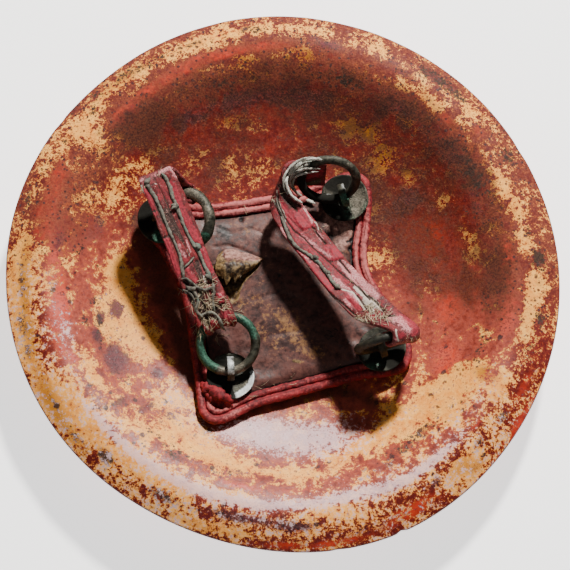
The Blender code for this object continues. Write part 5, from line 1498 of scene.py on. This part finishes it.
right_marks = {
    "red": (
        (((293, 212), (306, 208), (318, 223), (314, 227), (303, 230), (296, 222)), 0, 1.7), (((323, 246), (337, 244), (344, 257), (332, 261)), 0, 1.9),
        (((284, 205), (298, 235), (318, 256), (344, 284), (374, 312)), 14, 0.60), (((282, 232), (292, 248), (305, 262), (318, 275), (330, 288)), 3.2, 1.0), (((300, 178), (312, 174), (320, 172)), 4.0, 1.3), (((308, 192), (314, 196)), 5.0, 1.0),
        (((400, 318), (410, 322), (414, 332)), 5.0, 1.2), (((288, 240), (301, 255)), 2.4, 0.8), (((349, 298), (358, 306)), 3.2, 0.9), (((280, 205), (290, 222)), 3.0, 0.7), (((403, 334), (398, 338)), 3.0, 1.0),
    ),
    "pink": (
        (((352, 270), (362, 284), (374, 296)), 5.5, 1.7), (((340, 262), (352, 276)), 4.0, 1.1), (((338, 282), (350, 292), (362, 302)), 3.6, 1.1), (((390, 318), (400, 320), (408, 330)), 6.0, 0.9),
        (((318, 234), (322, 240)), 2.4, 1.2), (((302, 236), (316, 246), (330, 256)), 3.0, 0.8), (((281, 228), (286, 238)), 1.6, 1.2), (((298, 250), (310, 262)), 1.6, 0.7),
        (((332, 276), (338, 282)), 2.4, 0.9), (((296, 192), (304, 206), (312, 222)), 1.5, 1.0), (((276, 190), (280, 202)), 1.4, 0.5), (((345, 300), (352, 308)), 2.4, 0.8), (((310, 256), (322, 268)), 2.2, 0.8),
        (((392, 336), (397, 341)), 2, 0.8),
    ),
    # The first two dark marks paint shade on the rising face at the shoulder, which turns away from the lamp
    "dark": (
        (((279, 184), (283, 196), (290, 207)), 5.0, 0.55), (((286, 190), (296, 204)), 4.0, 0.30), (((330, 294), (340, 303)), 2.2, 0.5), (((286, 224), (292, 236)), 1.5, 0.4),
    ),
    "pale": (
        (((273, 200), (278, 208), (285, 222)), 1.0, 1.5), (((277, 190), (278, 200), (286, 218)), 0.7, 1.4), (((356, 288), (366, 296), (374, 304)), 3.6, 1.2), (((364, 302), (372, 312)), 3.4, 1.3),
        (((342, 289), (353, 293), (359, 301), (364, 309)), 0.9, 1.5), (((372, 300), (382, 310)), 3.0, 1.0), (((319, 262), (330, 274)), 0.9, 0.8), (((396, 330), (398, 341)), 1.0, 1.5),
        (((316, 222), (319, 230)), 1.0, 0.9), (((284, 236), (296, 252), (310, 268)), 0.7, 0.9), (((354, 318), (366, 322)), 2.0, 1.2), (((303, 208), (309, 216), (316, 223)), 0.7, 0.9),
        (((345, 262), (352, 272)), 1.6, 0.6),
    ),
    "olive": ((((301, 186), (310, 184), (319, 181)), 3.0, 0.9), (((280, 199), (288, 208)), 2.0, 0.4)),
    "away": {"dark": 0.2, "red": 0.4},
}
right_strap = band("right_grip_band", RIGHT_ROWS, 2.8, right_lines, right_lumps, right_marks, 231, ("grip_strap_right",))


def lace_look(name, low, high, tint):
    look = Look(name)
    strand = look.attr("strand")
    mid, fine, grit = look.noise(5, 7, 0.64, offset=0.3), look.noise(1.6, 6, 0.66, offset=0.7), look.noise(0.7, 3, 0.6, offset=1.4)
    colour = look.mix(look.band(look.add(look.times(mid, 0.5), look.times(fine, 0.5), look.times(strand, 0.12)), 0.42, 0.66), low, high)
    colour = look.mix(look.band(look.add(mid, look.times(strand, 0.15), look.times(fine, 0.3)), 0.80, 0.92, 0.0, 0.75), colour, tint)
    look.bump(fine, 0.5, 0.6)
    look.bump(grit, 0.3, 0.5)
    return look.done(colour, 0.78)


LACE = lace_look("lace_grey", (0.026, 0.023, 0.017), (0.165, 0.150, 0.118), (0.040, 0.105, 0.082))
PALE_LACE = lace_look("lace_pale", (0.17, 0.16, 0.13), (0.58, 0.56, 0.50), (0.16, 0.20, 0.16))
FIBRE = lace_look("fibre_beige", (0.16, 0.11, 0.055), (0.52, 0.42, 0.28), (0.12, 0.18, 0.12))

metal = list(metal_pieces.values())
ground = tree_of(left_strap, right_strap, pad, *rolls, *metal)
on_left = tree_of(left_strap)
on_right = tree_of(right_strap)


def cord(tree, line, radius, lift, **more):
    path = laid(tree, line, lift, **more)
    if path is None:
        return None, radius
    if isinstance(radius, tuple):
        radius = np.interp(np.linspace(0, 1, len(path)), np.linspace(0, 1, len(radius)), radius)
    return path, radius


left_laces = [
    cord(on_left, L_LACE_A, (1.5, 1.6, 1.3, 1.0, 1.3, 0.9, 1.3, 1.1), 0.5),
    cord(on_left, L_LACE_B, (1.2, 1.4, 1.2, 1.3, 1.0, 1.4, 1.1, 1.5), 0.5),
    cord(on_left, L_LACE_C, (0.7, 1.0, 0.8, 1.0, 0.9), 1.0),
    cord(on_left, L_CROSS, 0.7, 0.8),
    cord(on_left, ((171, 205), (175, 205.5), (179, 206.5)), (1.0, 2.0, 1.2), 1.3),
    cord(on_left, ((171, 209), (175, 207), (176, 210)), (0.9, 1.3, 0.9), 1.6),
    cord(on_left, ((195.5, 243), (198, 246.5), (197.5, 251)), (1.3, 2.0, 1.3), 1.2),
    cord(on_left, ((205, 275), (210, 278), (211, 281)), (1.2, 2.0, 1.2), 1.2),
    cord(on_left, ((213, 283), (214, 292), (212.5, 301), (215, 312)), (0.9, 1.1, 1.0, 0.7), 1.0),
    cord(on_left, ((192, 288), (198, 300), (196, 310), (203, 318)), (1.2, 0.9, 1.1, 0.8), 1.0),
    cord(on_left, ((186, 286), (191, 289), (197, 287)), (1.1, 1.9, 1.0), 1.3),
    cord(on_left, ((198, 318), (207, 313), (216, 315), (223, 325)), (0.8, 1.1, 0.9, 1.0), 1.1),
    cord(on_left, ((219, 318), (222, 327), (226, 331)), (1.3, 1.2, 0.7), 1.1),
    cord(on_left, ((150, 178), (147, 182), (147, 186)), (1.2, 1.9, 1.4), 1.0),
    cord(on_left, ((161, 173), (164, 176), (166, 181)), (1.0, 1.3, 1.3), 1.0),
    cord(on_left, ((182, 290), (188, 292), (193, 298), (194, 308)), (0.6, 0.8, 0.8, 0.6), 1.0),
]
right_laces = [
    cord(on_right, R_LACE, (0.9, 1.2, 1.35, 1.1, 1.4, 1.3, 1.5, 1.4), 0.85),
    cord(on_right, ((311.5, 256), (315.5, 258), (316, 261.5)), (1.3, 2.1, 1.4), 1.2),
    cord(on_right, ((326, 271), (328.5, 273), (329, 276)), (1.1, 1.7, 1.1), 1.1),
    cord(on_right, ((334, 284), (338, 287), (340.5, 289)), (1.3, 1.9, 0.9), 1.1),
    cord(on_right, ((276, 198), (279, 208), (284, 220), (287, 231)), (0.5, 0.7, 0.6, 0.6), 0.9),
]
cords("left_band_laces", left_laces, LACE, seed=5, sides=12, rough=0.30)
cords("right_band_laces", right_laces, LACE, seed=6, sides=12, rough=0.26)

# Frayed lacing at the upper right ring
around = tree_of(right_strap, metal_pieces["ring_upper_right"], metal_pieces["washer_upper_right"], pad)
frayed = [
    (((322, 160), (317, 159), (308, 160), (300, 163.5), (292, 169.5), (286.5, 178), (287.5, 188), (292.5, 196.5), (302, 203)), (1.0, 1.2, 1.2, 1.1, 1.0), 1.6),
    (((320, 169), (312, 168.5), (304, 169), (295, 173.5), (289.5, 181), (292.5, 188), (299.5, 195), (310, 200.5), (315.5, 203.5)), (0.4, 0.9, 1.1, 1.1, 1.0, 1.2, 0.4), 2.2),
    (((319, 171.5), (310, 172.5), (300, 174.5), (294, 179), (293, 186), (297, 193), (304, 198.5)), (0.4, 0.8, 0.9, 0.9, 0.8), 1.8),
    (((316, 158), (306, 158.5), (296, 162.5), (288.5, 169), (283.8, 178), (284, 187), (288, 195)), (0.9, 1.0, 0.9, 0.8, 0.5), 1.0),
    (((303, 166), (298, 170), (291, 176), (289.5, 184), (295, 192)), (0.6, 0.8, 0.7, 0.6), 2.8),
    (((303, 197), (309, 201), (315, 203.5)), (0.9, 1.5, 0.5), 2.4),
    (((310, 163.5), (305, 166), (309, 169)), (0.6, 0.8, 0.5), 2.0),
    (((295, 163), (290, 171), (286, 182), (289.5, 193), (297, 201)), (0.5, 0.6, 0.6, 0.4), 2.2),
    (((312, 161), (303, 163.5), (296, 168), (291, 175), (290.5, 184), (296, 190)), (0.5, 0.7, 0.6, 0.5), 3.0),
]
frayed_cords = [cord(around, line, radius, lift) for line, radius, lift in frayed]
cords("frayed_ring_lacing", frayed_cords, PALE_LACE, seed=9, sides=10, rough=0.22, replaces=("ring_lacing_upper_right",))

# Fold of the binding that has worked up over the edge of the lower left washer
fold = [
    cord(ground, ((201, 382), (205.5, 387), (212, 391.5), (220, 395), (229, 399.5), (238, 401)), (1.8, 3.6, 4.3, 3.8, 2.8, 1.3), 0.5),
    cord(ground, ((205, 393), (213, 398), (222, 402), (233, 405.5)), (1.6, 4.0, 3.6, 1.4), 0.3),
]
cords("binding_corner_fold", fold, BINDING, seed=17, sides=20, rough=0.34)

# Loose fibres where the leather and laces have come apart
rng = np.random.default_rng(12)


def tuft(tree, spots, count, long, radius, lift):
    made = []
    for px, py, spread, way, fan in spots:
        for _ in range(count):
            x, y = px + rng.normal() * spread, py + rng.normal() * spread
            a = math.radians(way + rng.normal() * fan)
            steps, line = 6, []
            reach = long * (0.5 + rng.random())
            bend = rng.normal() * 0.16
            for k in range(steps):
                line.append((x, y))
                a += bend + rng.normal() * 0.16
                x, y = x + math.cos(a) * reach / steps, y + math.sin(a) * reach / steps
            path = laid(tree, line, 0.3, step=0.6, settle=3, most_drop=1.6)
            if path is None or len(path) < 5:
                continue
            rise = np.linspace(0, 1, len(path)) ** 1.5 * lift * rng.random()
            path = path + rise[:, None] * np.array(BACK) + (np.sin(np.linspace(0, 6, len(path)) + rng.random() * 6) * 0.25)[:, None] * np.array(BACK)
            made.append((path, radius * (0.7 + 0.6 * rng.random())))
    return made


few = 1
fibres = tuft(ground, ((200, 290, 4, 70, 60), (204, 302, 4, 90, 60), (207, 316, 4, 70, 60), (196, 305, 3, 100, 50), (212, 300, 3, 30, 60), (205, 283, 3, 20, 70), (203, 325, 4, 60, 60), (225, 305, 3, 10, 40)), 17 // few, 11, 0.17, 1.4)
fibres += tuft(ground, ((231, 306, 2.5, 10, 35), (236, 314, 3, 30, 40), (228, 322, 3, 60, 40), (215, 333, 4, 80, 30), (199, 327, 3, 110, 30)), 12 // few, 10, 0.12, 2.6)
fibres += tuft(ground, ((368, 315, 4, 60, 60), (378, 313, 4, 20, 60), (362, 318, 3, 120, 50), (386, 318, 3, 0, 60), (372, 308, 3, 200, 50)), 20 // few, 9, 0.17, 1.4)
fibres += tuft(ground, ((143, 187, 1.5, 90, 40), (183, 291, 1.5, 170, 30), (159, 174, 2, 250, 40), (273, 200, 1.5, 200, 40), (410, 336, 2, 20, 40), (320, 228, 1.5, 20, 40)), 7 // few, 6, 0.13, 1.3)
cords("loose_fibres", fibres, FIBRE, seed=14, sides=5, rough=0.05)
strays = tuft(ground, ((300, 378, 3, 190, 30), (290, 381, 3, 10, 30), (250, 394, 3, 10, 40), (240, 206, 6, 10, 30), (285, 198, 5, 350, 30), (352, 280, 3, 60, 30), (368, 300, 3, 60, 30), (270, 389, 5, 350, 20)), 3, 9, 0.11, 1.0)
cords("binding_threads", strays, FIBRE, seed=15, sides=5, rough=0.05)


# ---------------------------------------------------------------- floor, lights and camera
def floor_look():
    look = Look("studio_floor", Roughness=0.9, Emission_Color=(1.0, 1.0, 1.0, 1.0), Emission_Strength=1.5)
    colour = look.mix(look.band(look.noise(400, 3), 0.3, 0.7), (0.86, 0.86, 0.86), (0.90, 0.90, 0.90))
    return look.done(colour)


floor_mesh = bpy.data.meshes.new("studio_floor")
floor_mesh.from_pydata([(-6, -6, 0), (6, -6, 0), (6, 6, 0), (-6, 6, 0)], [], [(0, 1, 2, 3)])
floor = bpy.data.objects.new("studio_floor", floor_mesh)
bpy.context.scene.collection.objects.link(floor)
floor_mesh.materials.append(floor_look())


def area_light(name, direction, distance, size, power, colour=(1, 1, 1)):
    data = bpy.data.lights.new(name, "AREA")
    data.shape = "DISK"
    data.size = size
    data.energy = power
    data.color = colour
    obj = bpy.data.objects.new(name, data)
    direction = Vector(direction).normalized()
    obj.location = Vector((0, 0, 0.03)) + direction * distance
    obj.rotation_mode = "QUATERNION"
    obj.rotation_quaternion = direction.to_track_quat("Z", "Y")
    bpy.context.scene.collection.objects.link(obj)
    return obj


area_light("key_light", (0.225, 0.70, 0.68), 2.4, 0.24, 146, (1.0, 0.96, 0.91))
area_light("fill_light", (-0.2, -0.75, 1.2), 2.6, 1.8, 4)
world = bpy.data.worlds.new("studio")
bpy.context.scene.world = world
world.use_nodes = True
world.node_tree.nodes["Background"].inputs["Color"].default_value = (1, 1, 1, 1)
world.node_tree.nodes["Background"].inputs["Strength"].default_value = 0.10

camera_data = bpy.data.cameras.new("camera")
camera_data.lens = LENS
camera_data.sensor_width = SENSOR
camera_data.clip_start, camera_data.clip_end = 0.05, 20
camera = bpy.data.objects.new("camera", camera_data)
camera.location = EYE * MM
camera.rotation_euler = (TILT, 0, 0)
bpy.context.scene.collection.objects.link(camera)
bpy.context.scene.camera = camera
